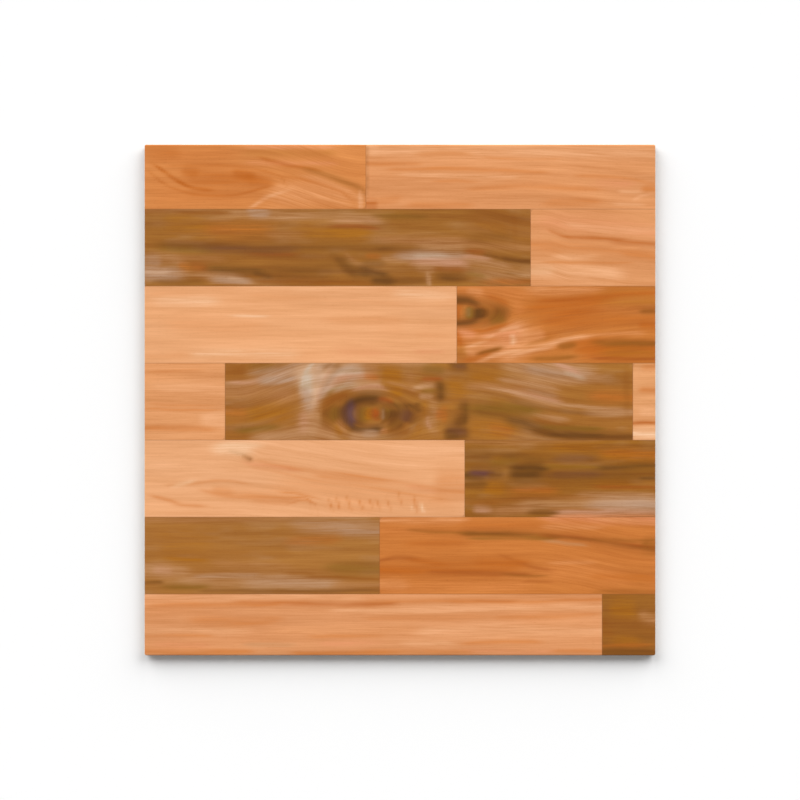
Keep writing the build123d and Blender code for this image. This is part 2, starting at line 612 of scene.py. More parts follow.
# %% Top row: a plain salmon strip
draw_strip(0, 1, (224, 153, 102), 0.7, falls=[(330, 440, 5)], marks=[
    ("peach", 0.45, 5, (200, 17), (320, 17), (448, 20)),
    ("apricot", 0.5, 4, (350, 31), (400, 31), (448, 35)),
    ("peach", 0.5, 4, (194, 14), (206, 17)),
    ("amber", 0.7, 1.8, (196, 28), (243, 28)),
    ("amber", 0.4, 2.2, (240, 19), (286, 20)),
    ("amber", 0.65, 1.6, (215, 33), (290, 33), (355, 36)),
    ("amber", 0.35, 1.2, (300, 23), (330, 24), (365, 24)),
    ("peach", 0.5, 1.7, (225, 38), (275, 39), (328, 40)),
    ("amber", 0.5, 1.2, (255, 43), (292, 43)),
    ("amber", 0.5, 2.4, (285, 50), (330, 48), (402, 50)),
    ("amber", 0.6, 1.5, (380, 39), (420, 40), (450, 46)),
    ("salmon", 0.5, 3, (396, 45), (430, 46)),
    ("amber", 0.7, 2.6, (438, 50), (452, 51)),
    ("peach", 0.7, 1.3, (418, 52), (438, 53)),
    ("peach", 0.6, 1.3, (432, 59), (442, 55), (450, 54)),
    ("peach", 0.6, 1.4, (414, 63), (440, 64)),
    ("amber", 0.6, 2.6, (232, 64), (288, 64)),
    ("amber", 0.55, 3.5, (352, 62), (402, 61)),
    ("amber", 0.5, 3, (203, 62), (226, 58)),
    ("brown", 0.3, 1, (196, 20), (196, 52)),
    ("rust", 0.7, 5, (194, 64), (205, 65)),
])

# %% Second row: the left part of the dark strip
left_marks = [
    ("brown", 0.5, 14, (285, 14), (345, 14)),
    ("golden", 0.4, 8, (20, 14), (60, 16)),
    ("rust", 0.35, 7, (55, 17), (112, 17)),
    ("golden", 0.6, 7, (135, 17), (200, 22)),
    ("tan", 0.5, 4, (108, 22), (140, 23)),
    ("fawn", 0.38, 4.5, (72, 3), (92, 4), (165, 7), (207, 9)),
    ("tan", 0.4, 3, (0, 2), (72, 1)),
    ("bark", 0.5, 5, (15, 32), (80, 34), (150, 34.5), (215, 34)),
    ("plum", 0.35, 3.6, (50, 36), (90, 35), (135, 35)),
    ("olive", 0.4, 4, (10, 33), (60, 38)),
    ("bark", 0.5, 7, (105, 55), (140, 55), (172, 50)),
    ("brick", 0.35, 1.6, (92, 39.5), (134, 40)),
    ("brown", 0.6, 1.2, (28, 3.5), (74, 3.5)),
    ("bark", 0.35, 1.6, (200, 6), (250, 7)),
    ("olive", 0.4, 3, (205, 7), (248, 7)),
    ("dove", 0.8, 3.4, (91, 2), (110, 4)),
    ("fawn", 0.35, 2, (106, 8), (150, 5.5)),
    ("blush", 0.25, 3, (164, 11), (207, 12)),
    ("brick", 0.45, 1.4, (164, 15), (190, 16), (208, 18)),
    ("fawn", 0.55, 4, (0, 44), (22, 43), (34, 46)),
    ("dove", 0.45, 5, (0, 46), (14, 46)),
    ("tan", 0.5, 3, (28, 42), (70, 44)),
    ("rust", 0.5, 3, (30, 50), (40, 52)),
    ("brick", 0.6, 3, (40, 50), (56, 52)),
    ("dove", 0.85, 4.4, (0, 56), (14, 57), (34, 57)),
    ("shell", 0.5, 2, (0, 55), (22, 56)),
    ("fawn", 0.6, 2, (24, 57), (54, 58)),
    ("bark", 0.65, 2, (10, 64), (30, 64.5), (54, 64)),
    ("umber", 0.6, 3.6, (54, 52.5), (78, 54), (106, 55)),
    ("umber", 0.4, 2.2, (96, 56), (112, 60)),
    ("fawn", 0.8, 3, (50, 58), (64, 60), (80, 62), (98, 66)),
    ("dove", 0.8, 3, (60, 61.5), (92, 63.5)),
    ("shell", 0.35, 1.6, (74, 61), (88, 63)),
    ("brown", 0.5, 1.4, (56, 67.4), (100, 67.4)),
    ("brown", 0.7, 2.6, (98, 64), (150, 64), (205, 65)),
]
print(len(left_marks), "marks")

# %% Second row: the right part of the dark strip, with its grey haze
right_marks = [
    ("umber", 0.5, 4.5, (172, 46), (184, 53), (200, 58)),
    ("bark", 0.6, 3, (165, 40), (176, 50), (186, 60)),
    ("tan", 0.5, 2, (178, 40), (184, 46), (194, 51), (204, 57)),
    ("umber", 0.6, 2.6, (190, 51), (202, 55), (214, 58)),
    ("umber", 0.9, 3.6, (200, 62), (220, 63)),
    ("bark", 0.85, 2.4, (214, 63), (248, 63)),
    ("rust", 0.5, 2, (195, 41), (208, 42)),
    ("bark", 0.6, 2.6, (192, 47), (212, 47.5)),
    ("bark", 0.65, 2.2, (205, 35), (246, 34.5)),
    ("tan", 0.7, 4.5, (205, 26), (240, 28), (288, 30)),
    ("fawn", 0.5, 3, (240, 31), (284, 33)),
    ("fawn", 0.4, 3, (208, 43), (232, 46)),
    ("dove", 0.8, 3.4, (222, 41), (252, 41), (284, 41)),
    ("dove", 0.6, 2.2, (234, 39), (264, 39)),
    ("frost", 0.35, 2, (238, 41), (268, 41)),
    ("blush", 0.65, 3.2, (236, 47), (262, 46), (284, 46)),
    ("fawn", 0.6, 3, (240, 52), (256, 54)),
    ("blush", 0.4, 2.6, (264, 50), (286, 50)),
    ("brick", 0.35, 2.2, (256, 53), (284, 54.5)),
    ("bark", 0.6, 4.4, (257, 60), (284, 61)),
    ("umber", 0.3, 2, (262, 62), (276, 63)),
    ("fawn", 0.75, 1.8, (249, 55), (251, 67)),
    ("tan", 0.6, 3.4, (283, 32), (340, 34)),
    ("blush", 0.6, 2.2, (280, 42), (304, 44)),
    ("brick", 0.45, 1.6, (283, 37), (300, 39)),
    ("fawn", 0.8, 2.4, (284, 45), (300, 47), (322, 50)),
    ("bark", 0.5, 1.4, (298, 40), (312, 43)),
    ("bark", 0.85, 2.4, (312, 43), (328, 45), (344, 46)),
    ("fawn", 0.6, 4.5, (284, 54), (310, 57), (340, 57)),
    ("olive", 0.4, 3, (284, 56), (300, 60)),
    ("bark", 0.35, 1.1, (318, 56), (334, 57)),
    ("rust", 0.45, 2.6, (298, 65), (340, 64)),
    ("bark", 0.3, 4, (284, 25), (326, 24)),
    ("brown", 0.4, 1.5, (326, 2), (326, 30)),
]
draw_strip(1, 0, (160, 106, 54), 1.1, bloom=0.25, falls=[(284, 345, 9)],
           marks=left_marks + right_marks)

# %% Second row: the light strip
draw_strip(1, 1, (224, 154, 103), 0.65, falls=[(352, 378, 6), (378, 450, 5)], marks=[
    ("salmon", 0.4, 7, (345, 10), (400, 14), (448, 20)),
    ("peach", 0.65, 7, (341, 54), (380, 55), (420, 57)),
    ("cream", 0.3, 4, (341, 54), (360, 54)),
    ("peach", 0.45, 3, (370, 12), (410, 18), (450, 18)),
    ("amber", 0.5, 5, (341, 31), (385, 33), (452, 40)),
    ("amber", 0.5, 3, (420, 37), (452, 44)),
    ("rust", 0.4, 1.3, (356, 18), (366, 22), (376, 25)),
    ("rust", 0.65, 1.6, (368, 24), (395, 25.5), (424, 27)),
    ("rust", 0.55, 1.7, (410, 28.5), (435, 30), (452, 31)),
    ("apricot", 0.6, 1.3, (412, 34), (436, 34)),
    ("amber", 0.5, 1.2, (350, 47), (428, 47)),
    ("peach", 0.5, 2.4, (360, 42), (400, 41)),
])

# %% Third row: the palest strip
draw_strip(2, 0, (235, 170, 121), 0.55, marks=[
    ("cream", 0.3, 4, (8, 13), (64, 13)),
    ("apricot", 0.35, 2.5, (5, 7), (40, 6)),
    ("apricot", 0.45, 7, (20, 33), (60, 35), (105, 35)),
    ("cream", 0.4, 1.3, (76, 26), (108, 26)),
    ("apricot", 0.35, 2, (95, 8), (160, 12), (225, 15)),
    ("apricot", 0.4, 3, (160, 29), (228, 30)),
    ("apricot", 0.3, 3, (205, 38), (228, 38)),
    ("cream", 0.3, 4, (40, 60), (92, 60)),
    ("apricot", 0.3, 3, (0, 61), (40, 61)),
    ("cream", 0.3, 4, (92, 60), (135, 60)),
    ("salmon", 0.3, 3.5, (168, 57), (212, 58)),
    ("peach", 0.4, 2.5, (130, 4), (205, 4)),
    ("cream", 0.3, 4, (222, 6), (272, 8)),
    ("salmon", 0.3, 2.2, (238, 57), (264, 58)),
    ("apricot", 0.3, 3, (240, 42), (270, 46)),
])

# %% Third row: the broad patches of a russet strip
russet_patches = [
    ("amber", 0.6, 7, (276, 4), (310, 4), (340, 6)),
    ("apricot", 0.45, 3, (284, 4), (298, 5)),
    ("apricot", 0.75, 9, (330, 34), (331, 50), (312, 62)),
    ("salmon", 0.75, 7, (296, 46), (318, 44), (330, 40)),
    ("apricot", 0.6, 5, (284, 55), (300, 53), (316, 50)),
    ("amber", 0.6, 5, (326, 12), (332, 24)),
    ("rust", 0.8, 9, (338, 22), (370, 20), (410, 13)),
    ("rust", 0.5, 5, (350, 31), (400, 31), (452, 26)),
    ("golden", 0.3, 7, (400, 10), (452, 12)),
    ("apricot", 0.35, 4.4, (338, 3), (370, 4), (404, 2)),
    ("rust", 0.8, 2.4, (346, 13), (385, 11), (415, 8), (452, 6)),
    ("amber", 0.45, 3.5, (400, 19), (437, 21)),
    ("amber", 0.45, 5, (338, 43), (352, 40)),
]
print(len(russet_patches), "broad patches")

# %% Third row: half a knot, where the russet strip starts
half_knot = [
    ("brown", 0.9, 9.5, (294, 24), (318, 24)),
    ("bark", 0.5, 5, (308, 22), (322, 24)),
    ("olive", 0.5, 4, (304, 30), (318, 29)),
    ("rust", 0.9, 6.5, (273, 22), (279, 23)),
    ("bark", 0.85, 3.8, (272, 12.5), (286, 13), (296, 19)),
    ("bark", 0.85, 4, (272, 32), (286, 31), (296, 27)),
    ("umber", 0.2, 2, (272, 12), (284, 12.5), (293, 16)),
    ("umber", 0.4, 2.4, (276, 33), (286, 31.5), (293, 28)),
    ("umber", 0.97, 6.6, (294, 19), (294, 28)),
    ("olive", 0.95, 3, (286, 18), (286, 28)),
    ("dove", 0.25, 1.8, (285, 19), (285, 26)),
    ("brick", 0.6, 2, (272, 20), (276, 23), (273, 26)),
    ("salmon", 0.6, 4.5, (274, 42), (292, 43)),
    ("rust", 0.65, 2.6, (302, 8), (311, 11), (320, 15)),
    ("rust", 0.6, 1.7, (286, 39), (298, 40), (308, 37), (322, 33)),
    ("rust", 0.7, 3, (275, 42), (279, 52)),
    ("golden", 0.45, 4, (276, 59), (284, 59)),
    ("peach", 0.6, 1.7, (284, 53), (296, 49), (308, 43)),
    ("brown", 0.97, 2, (293, 60.5), (303, 57), (315, 53.5)),
    ("amber", 0.6, 1.3, (286, 50), (300, 47), (312, 47)),
    ("peach", 0.6, 1.8, (292, 67), (304, 63), (318, 59), (332, 56)),
    ("rust", 0.65, 2, (282, 65), (296, 63), (303, 60)),
    ("cream", 0.5, 2, (323, 43), (325, 47), (323.5, 51)),
    ("peach", 0.5, 2, (313, 40), (322, 37), (331, 37)),
]
print(len(half_knot), "marks in and round the half knot")

# %% Third row: the lines to the right, and the russet strip
right_of_half_knot = [
    ("apricot", 0.6, 5, (334, 46), (352, 44)),
    ("peach", 0.5, 2.6, (322, 62), (340, 57), (356, 52), (372, 47.5), (392, 45)),
    ("apricot", 0.35, 2.6, (380, 45), (410, 43), (440, 42)),
    ("brown", 0.35, 1.3, (336, 52), (346, 49), (358, 45.5)),
    ("rust", 0.85, 3, (366, 54), (380, 51), (405, 49)),
    ("rust", 0.9, 8, (385, 58), (415, 56), (452, 57)),
    ("brown", 0.7, 2.4, (364, 53), (380, 51)),
    ("brown", 0.85, 2.8, (395, 50), (425, 50), (452, 50)),
    ("golden", 0.5, 4.5, (400, 58), (450, 60)),
    ("brown", 0.6, 2, (342, 64.5), (360, 64), (380, 62.5)),
    ("rust", 0.7, 3.6, (380, 57), (406, 56)),
    ("brick", 0.6, 1.3, (394, 64), (452, 64)),
    ("brown", 0.6, 2.2, (436, 22), (452, 22)),
    ("rust", 0.8, 3.5, (436, 34), (452, 35)),
    ("apricot", 0.45, 2.6, (282, 57), (292, 60)),
]
draw_strip(2, 1, (199, 122, 63), 0.85, bloom=0.1, falls=[(318, 450, -9)],
           knots=[(278, 23, 40, 15)], marks=russet_patches + half_knot + right_of_half_knot)

# %% Fourth row: the light end on the left
draw_strip(3, 0, (225, 156, 105), 0.75, marks=[
    ("peach", 0.6, 6, (50, 50), (72, 50)),
    ("peach", 0.3, 4, (6, 20), (70, 24)),
    ("amber", 0.6, 1.2, (0, 41), (35, 41), (66, 41)),
    ("amber", 0.45, 1, (6, 36.5), (64, 37)),
    ("amber", 0.55, 2.4, (0, 57), (62, 58)),
    ("amber", 0.4, 1, (3, 7), (52, 6)),
])

# %% Fourth row: pale bands to the left of the knot
left_of_knot = [
    ("brown", 0.8, 8, (70, 5), (90, 7)),
    ("tan", 0.9, 8, (70, 26), (100, 27), (132, 29)),
    ("golden", 0.6, 9, (92, 45), (115, 45), (132, 44)),
    ("rust", 0.25, 6, (72, 44), (90, 46)),
    ("brown", 0.5, 6, (70, 61), (94, 62)),
    ("olive", 0.7, 2.8, (80, 59), (98, 58), (118, 56)),
    ("olive", 0.5, 3, (92, 3), (112, 2)),
    ("fawn", 0.9, 5.5, (96, 65), (122, 64), (150, 61), (170, 65)),
    ("fawn", 0.9, 9, (126, 4), (146, 3), (168, 4), (190, 1)),
    ("fawn", 0.9, 9, (136, 20), (150, 18), (164, 16)),
    ("fawn", 0.75, 7.5, (147, 32), (147, 46), (150, 66)),
    ("shell", 0.75, 8, (132, 8), (150, 8), (164, 3)),
    ("shell", 0.7, 6, (150, 8), (150, 28)),
    ("tan", 0.6, 7, (152, 60), (166, 64)),
    ("blush", 0.4, 4, (140, 62), (140, 44)),
    ("fawn", 0.8, 1.8, (68, 19), (90, 17.5), (108, 13)),
    ("blush", 0.6, 1.6, (76, 17.5), (96, 17), (112, 13), (124, 8)),
    ("dove", 0.9, 4.4, (102, 16), (118, 15.5), (134, 14)),
    ("shell", 0.4, 2, (106, 11), (118, 9), (130, 6)),
    ("dove", 0.7, 1.6, (108, 8), (126, 4), (140, -2)),
    ("bark", 0.35, 1.4, (96, 9), (110, 5), (124, 0)),
    ("brown", 0.35, 1.6, (104, 22), (122, 20), (134, 16)),
    ("frost", 0.85, 4.6, (143, 26), (143, 17), (145, 8)),
    ("frost", 0.6, 1.8, (138, 22), (142, 8), (150, -2)),
    ("shell", 0.9, 3.4, (148, 38), (152, 24), (157, 10), (166, -2)),
    ("blush", 0.5, 1.6, (152, 34), (156, 20), (163, 6)),
    ("dove", 0.85, 3.6, (158, 28), (164, 18), (172, 9), (184, 2)),
    ("shell", 0.4, 1.4, (160, 24), (168, 14), (180, 5)),
    ("brown", 0.3, 1.5, (157, 6), (163, 1), (167, -3)),
    ("dove", 0.55, 3.4, (155, 32), (160, 20), (168, 9)),
    ("blush", 0.85, 3.2, (164, 20), (174, 14), (186, 12), (200, 11)),
    ("olive", 0.45, 2, (160, 29), (168, 22), (178, 20)),
    ("dove", 0.5, 2.4, (168, 25), (178, 18), (188, 13)),
    ("dove", 0.5, 3.4, (174, 5), (200, 4)),
]
print(len(left_of_knot), "marks")

# %% Fourth row: the round knot, and what lies above it
round_knot = [
    ("tan", 0.6, 5, (192, 4), (206, 3)),
    ("fawn", 0.85, 5.5, (184, 20), (196, 18), (208, 20)),
    ("blush", 0.6, 1.8, (184, 24), (196, 21), (206, 21), (213, 24)),
    ("rust", 0.45, 2.4, (194, 12), (206, 13)),
    ("golden", 0.8, 7, (210, 9), (226, 12)),
    ("tan", 0.6, 1.8, (206, 1), (244, 1)),
    ("golden", 0.7, 5, (222, 20), (224, 30)),
    ("tan", 0.6, 1.6, (212, 16), (226, 19), (238, 26)),
    ("brown", 0.9, 9, (156, 44), (168, 44)),
    ("bark", 0.6, 6, (156, 46), (168, 48)),
    ("olive", 0.85, 4.6, (168, 37), (168, 50)),
    ("golden", 0.6, 3, (170, 54), (173, 63)),
    ("brown", 0.8, 3.6, (158, 36), (168, 31), (180, 28)),
    ("olive", 0.9, 9, (212, 40), (212, 49)),
    ("bark", 0.9, 9, (220, 42), (220, 50)),
    ("bark", 0.9, 8, (234, 41), (230, 51)),
    ("brown", 0.7, 6, (214, 60), (234, 60)),
    ("bark", 0.9, 4.5, (178, 39), (192, 34), (207, 35)),
    ("umber", 0.9, 3.8, (174, 41), (182, 36), (193, 32), (209, 31)),
    ("brick", 0.6, 2.4, (206, 32), (212, 33), (219, 36)),
    ("umber", 0.8, 3.6, (176, 40), (175, 46), (178, 52)),
    ("plum", 1.0, 6.4, (182, 37), (182, 46), (184, 54)),
    ("umber", 0.5, 1.4, (178, 40), (177, 47), (180, 54)),
    ("dove", 0.25, 3.6, (182, 40), (184, 52)),
    ("umber", 0.95, 3.4, (179, 53), (187, 58.5), (198, 60), (208, 57)),
    ("bark", 0.95, 4, (190, 38), (190, 54)),
    ("olive", 1.0, 4, (194, 39), (194, 52)),
    ("golden", 0.8, 3, (198, 40), (197, 50)),
    ("brick", 0.95, 3.4, (204, 40), (204, 50)),
    ("rust", 0.3, 1.8, (203, 39), (204, 45)),
    ("bark", 0.8, 2.4, (209, 38), (212, 44), (210, 52)),
    ("dove", 0.35, 1.6, (209, 40), (210, 49)),
    ("bark", 0.85, 7, (214, 50), (228, 51)),
    ("umber", 0.4, 6, (218, 41), (219, 47)),
    ("umber", 0.5, 2.4, (212, 37), (224, 38), (236, 38), (243, 41)),
    ("plum", 0.6, 4.4, (232, 41), (229, 51)),
    ("bark", 0.7, 3.4, (239, 36), (242, 43)),
    ("fawn", 0.8, 4.4, (180, 65), (194, 64), (206, 64)),
    ("dove", 0.6, 2.4, (192, 63), (206, 62)),
    ("salmon", 0.25, 2.4, (208, 58), (214, 62)),
]
print(len(round_knot), "marks")

# %% Fourth row: dark spots and pale fibres beside the knot
beside_knot = [
    ("golden", 0.6, 6, (238, 56), (244, 60)),
    ("tan", 0.55, 4, (234, 8), (236, 22)),
    ("brown", 0.5, 3, (228, 25), (240, 28)),
    ("brick", 0.6, 2, (244, 14), (262, 14)),
    ("olive", 0.6, 3.6, (245, 5), (264, 6)),
    ("fawn", 0.9, 2.6, (236, 23), (246, 20), (257, 20)),
    ("olive", 0.8, 2, (244, 25), (256, 24.5)),
    ("bark", 0.95, 4.6, (260, 16), (261, 34)),
    ("umber", 0.5, 3.2, (261, 18), (261, 32)),
    ("fawn", 0.8, 2.4, (242, 29.5), (254, 29)),
    ("fawn", 0.45, 4.2, (252, 32), (256, 44), (252, 53), (256, 62)),
    ("blush", 0.35, 1.6, (250, 46), (249, 52), (252, 58)),
    ("rust", 0.35, 2.4, (260, 40), (258, 50)),
    ("golden", 0.5, 2.2, (247, 34), (246, 46)),
    ("rust", 0.45, 3, (264, 38), (264, 52)),
    ("golden", 0.7, 7, (268, 15), (277, 24), (270, 38)),
    ("bark", 0.85, 4.2, (268, 3), (285, 3)),
    ("plum", 0.4, 2.6, (272, 4), (284, 4)),
    ("bark", 0.85, 5, (282, 34), (280, 46), (275, 60)),
    ("umber", 0.5, 2.4, (284, 38), (282, 54)),
    ("bark", 0.85, 7, (264, 62), (286, 61)),
    ("plum", 0.4, 4, (266, 58), (284, 62)),
    ("umber", 0.35, 3, (264, 64), (276, 64)),
]
print(len(beside_knot), "marks")

# %% Fourth row: the right half of the strip
right_of_knot = [
    ("brown", 0.6, 4, (284, 4), (314, 4)),
    ("golden", 0.6, 5, (288, 12), (312, 12)),
    ("tan", 0.7, 3.4, (284, 20), (304, 21), (322, 24)),
    ("olive", 0.85, 5.5, (286, 40), (318, 41), (348, 42)),
    ("bark", 0.5, 3, (290, 43), (322, 48)),
    ("golden", 0.6, 7, (286, 57), (330, 61)),
    ("rust", 0.3, 5, (304, 56), (324, 60)),
    ("fawn", 0.8, 7, (318, 1), (350, 5), (396, 8)),
    ("dove", 0.6, 4, (336, 5), (360, 9), (392, 11)),
    ("fawn", 0.6, 3, (336, 14), (366, 15), (408, 13)),
    ("blush", 0.7, 2.4, (360, -2), (372, 4), (384, 11)),
    ("frost", 0.4, 2, (370, 8), (388, 14)),
    ("tan", 0.8, 6.5, (322, 20), (345, 27), (366, 32)),
    ("dove", 0.5, 2.6, (336, 22), (348, 25), (362, 29)),
    ("blush", 0.8, 1.7, (316, 24), (338, 29), (352, 32), (366, 35)),
    ("fawn", 0.7, 1.7, (312, 14), (345, 19), (364, 23)),
    ("brown", 0.5, 1.3, (322, 19), (345, 23.5), (362, 28)),
    ("fawn", 0.7, 1.4, (300, 22), (325, 26), (345, 32), (370, 37), (400, 40), (432, 42)),
    ("bark", 0.4, 1.6, (322, 33), (345, 39), (372, 43), (400, 45)),
    ("fawn", 0.55, 2.4, (342, 44), (356, 48), (372, 50)),
    ("fawn", 0.65, 3.4, (390, 43), (432, 44)),
    ("brown", 0.5, 1.6, (345, 51), (362, 54), (380, 53)),
    ("umber", 0.95, 3.2, (318, 50), (332, 53), (346, 57.5), (362, 61)),
    ("bark", 0.9, 4, (344, 60), (390, 64), (432, 65)),
    ("umber", 0.55, 2, (356, 63), (404, 64)),
    ("olive", 0.85, 2, (350, 56), (376, 57.5), (404, 58)),
    ("rust", 0.45, 5, (392, 29), (432, 30)),
    ("brown", 0.5, 1.6, (396, 49), (432, 48)),
    ("brown", 0.4, 3, (424, 3), (425, 42)),
]
print(len(right_of_knot), "marks")

# %% Fourth row: last touches round the knot
last_touches = [
    ("dove", 0.4, 5, (92, 9), (112, 8), (134, 5)),
    ("frost", 0.35, 3, (144, 10), (145, 34)),
    ("dove", 0.75, 4.2, (140, 21), (143, 30), (145, 42)),
    ("dove", 0.45, 4, (154, 0), (153, 18)),
    ("bark", 0.5, 2.2, (156, 3), (164, 2.5), (173, 3)),
    ("frost", 0.45, 2.6, (168, 8), (192, 7)),
    ("frost", 0.35, 3, (163, 23), (174, 20.5), (188, 19)),
    ("tan", 0.7, 2.6, (171, 50), (178, 65)),
    ("violet", 0.65, 3, (182, 33), (181, 44), (183, 56)),
]
print(len(last_touches), "marks")

# %% Fourth row: the strip with the knot, and the light end beyond it
draw_strip(3, 1, (166, 110, 56), 1.0, bloom=0.3, falls=[(80, 150, -14), (284, 400, 16)],
           knots=[(200, 44, 34, 19)],
           marks=left_of_knot + round_knot + beside_knot + right_of_knot + last_touches)
draw_strip(3, 2, (227, 161, 110), 0.8, marks=[
    ("rust", 0.75, 1.5, (428, 53), (452, 53)),
    ("amber", 0.6, 3, (438, 4), (452, 4)),
    ("amber", 0.6, 3, (436, 24), (452, 25)),
    ("cream", 0.6, 4, (430, 62), (452, 62)),
    ("peach", 0.5, 3, (436, 43), (452, 43)),
])

# %% Fifth row: a pale strip with a pin knot
draw_strip(4, 0, (235, 171, 123), 0.55, falls=[(70, 250, 20)], knots=[(91, 15, 7, 4)], marks=[
    ("peach", 0.5, 5, (50, 6), (95, 6), (150, 7)),
    ("cream", 0.6, 2.4, (66, 4), (104, 5)),
    ("peach", 0.4, 7, (215, 8), (284, 10)),
    ("peach", 0.45, 5, (125, 9), (180, 13), (240, 22)),
    ("apricot", 0.5, 10, (115, 41), (190, 44), (265, 52)),
    ("salmon", 0.5, 2.2, (88, 20), (112, 23), (136, 26)),
    ("amber", 0.35, 1.8, (100, 18), (130, 24), (165, 29), (200, 34), (232, 39), (284, 46)),
    ("amber", 0.25, 1.3, (92, 23), (130, 31), (165, 37), (205, 43), (265, 52)),
    ("amber", 0.35, 2.4, (152, 31), (215, 37)),
    ("amber", 0.5, 1.6, (4, 48), (20, 53), (34, 57), (54, 58)),
    ("amber", 0.45, 1.7, (50, 44), (66, 48), (84, 50), (104, 49), (136, 51)),
    ("apricot", 0.5, 4, (56, 46), (90, 46), (132, 45)),
    ("amber", 0.4, 3, (95, 53), (132, 54)),
    ("amber", 0.35, 3, (60, 45), (78, 47)),
    ("amber", 0.5, 12, (256, 40), (284, 42)),
    ("apricot", 0.5, 6, (160, 57), (206, 58)),
    ("peach", 0.5, 8, (8, 24), (70, 22)),
    ("amber", 0.35, 1.2, (20, 40), (46, 38), (66, 36), (92, 39)),
    ("brown", 0.45, 2.2, (86, 13), (95, 17.5)),
    ("bark", 0.3, 1.1, (90, 15), (94, 17)),
    ("fawn", 0.6, 1.4, (74, 9), (88, 12.5)),
    ("amber", 0.55, 1, (120, 45), (140, 48), (154, 52)),
    ("amber", 0.5, 1, (126, 56), (138, 53), (150, 56), (152, 63)),
    ("amber", 0.6, 1, (162, 52), (166, 62)),
    ("amber", 0.6, 1, (169, 51), (172, 61)),
    ("amber", 0.65, 1.1, (178, 50), (182, 62)),
    ("amber", 0.55, 1, (188, 52), (192, 61)),
    ("amber", 0.5, 1, (198, 52), (201, 60)),
    ("cream", 0.7, 1.3, (243, 55), (246, 64)),
    ("cream", 0.6, 1.1, (234, 57), (237, 63)),
    ("cream", 0.4, 1.6, (24, 41), (44, 36)),
    ("salmon", 0.4, 2, (232, 41), (258, 45)),
    ("cream", 0.7, 5, (60, 7), (80, 8), (94, 9)),
    ("amber", 0.5, 1, (131, 51), (140, 50), (146, 54), (147, 61)),
    ("amber", 0.55, 1, (204, 51), (207, 61)),
    ("amber", 0.45, 1, (213, 51), (217, 62)),
    ("amber", 0.45, 1, (223, 45), (227, 58)),
    ("amber", 0.55, 1.2, (237, 49), (240, 64)),
])

# %% Fifth row: the darkest strip
draw_strip(4, 1, (155, 101, 48), 1.1, bloom=0.25, marks=[
    ("bark", 0.45, 9, (282, 14), (306, 15)),
    ("golden", 0.85, 7, (300, 41), (316, 46)),
    ("golden", 0.6, 3.6, (358, 6), (402, 6)),
    ("golden", 0.6, 4, (400, 12), (452, 14)),
    ("rust", 0.35, 3.5, (402, 11), (452, 13)),
    ("tan", 0.4, 2.4, (284, 1), (330, 2), (400, 0)),
    ("rust", 0.4, 4, (322, 46), (362, 45)),
    ("olive", 0.5, 5, (304, 20), (330, 18)),
    ("bark", 0.6, 3.2, (316, 14), (350, 16), (400, 17)),
    ("plum", 0.3, 3, (360, 17), (400, 16)),
    ("bark", 0.7, 5, (340, 31), (400, 31), (452, 29)),
    ("plum", 0.3, 2.6, (358, 31), (402, 30)),
    ("umber", 0.5, 2.6, (396, 24), (425, 23), (452, 22)),
    ("bark", 0.5, 1.2, (300, 12), (338, 12)),
    ("umber", 0.7, 3.4, (283, 31), (300, 31)),
    ("plum", 0.9, 3, (286, 28.5), (308, 29)),
    ("bark", 0.6, 3, (283, 39), (302, 38)),
    ("bark", 0.7, 3.6, (302, 29), (316, 29)),
    ("bark", 0.85, 7, (322, 27), (352, 27)),
    ("umber", 0.65, 4.2, (322, 30), (348, 29)),
    ("umber", 0.9, 2.2, (324, 24), (338, 24), (356, 25)),
    ("umber", 0.2, 4, (334, 17), (352, 20)),
    ("olive", 0.7, 1.7, (354, 23), (402, 24)),
    ("golden", 0.3, 1.4, (360, 23), (400, 24)),
    ("brown", 0.7, 2.6, (283, 55), (310, 54), (345, 51), (396, 50)),
    ("blush", 0.5, 3, (290, 60), (306, 61)),
    ("tan", 0.7, 5, (306, 62), (340, 60)),
    ("fawn", 0.85, 4.4, (330, 58), (365, 57), (395, 55), (452, 54)),
    ("dove", 0.65, 6, (392, 58), (425, 56), (452, 58)),
    ("blush", 0.7, 2.6, (360, 63), (400, 63), (452, 63)),
    ("fawn", 0.6, 2, (380, 47), (452, 48)),
    ("bark", 0.8, 2, (338, 63), (364, 63.5)),
    ("brown", 0.5, 1.2, (356, 60), (404, 61)),
    ("golden", 0.4, 4.5, (396, 38), (452, 38)),
    ("brick", 0.4, 1.6, (396, 41), (452, 41)),
    ("umber", 0.4, 1, (436, 33), (452, 33)),
    ("salmon", 0.6, 1.8, (358, 67), (452, 67)),
])

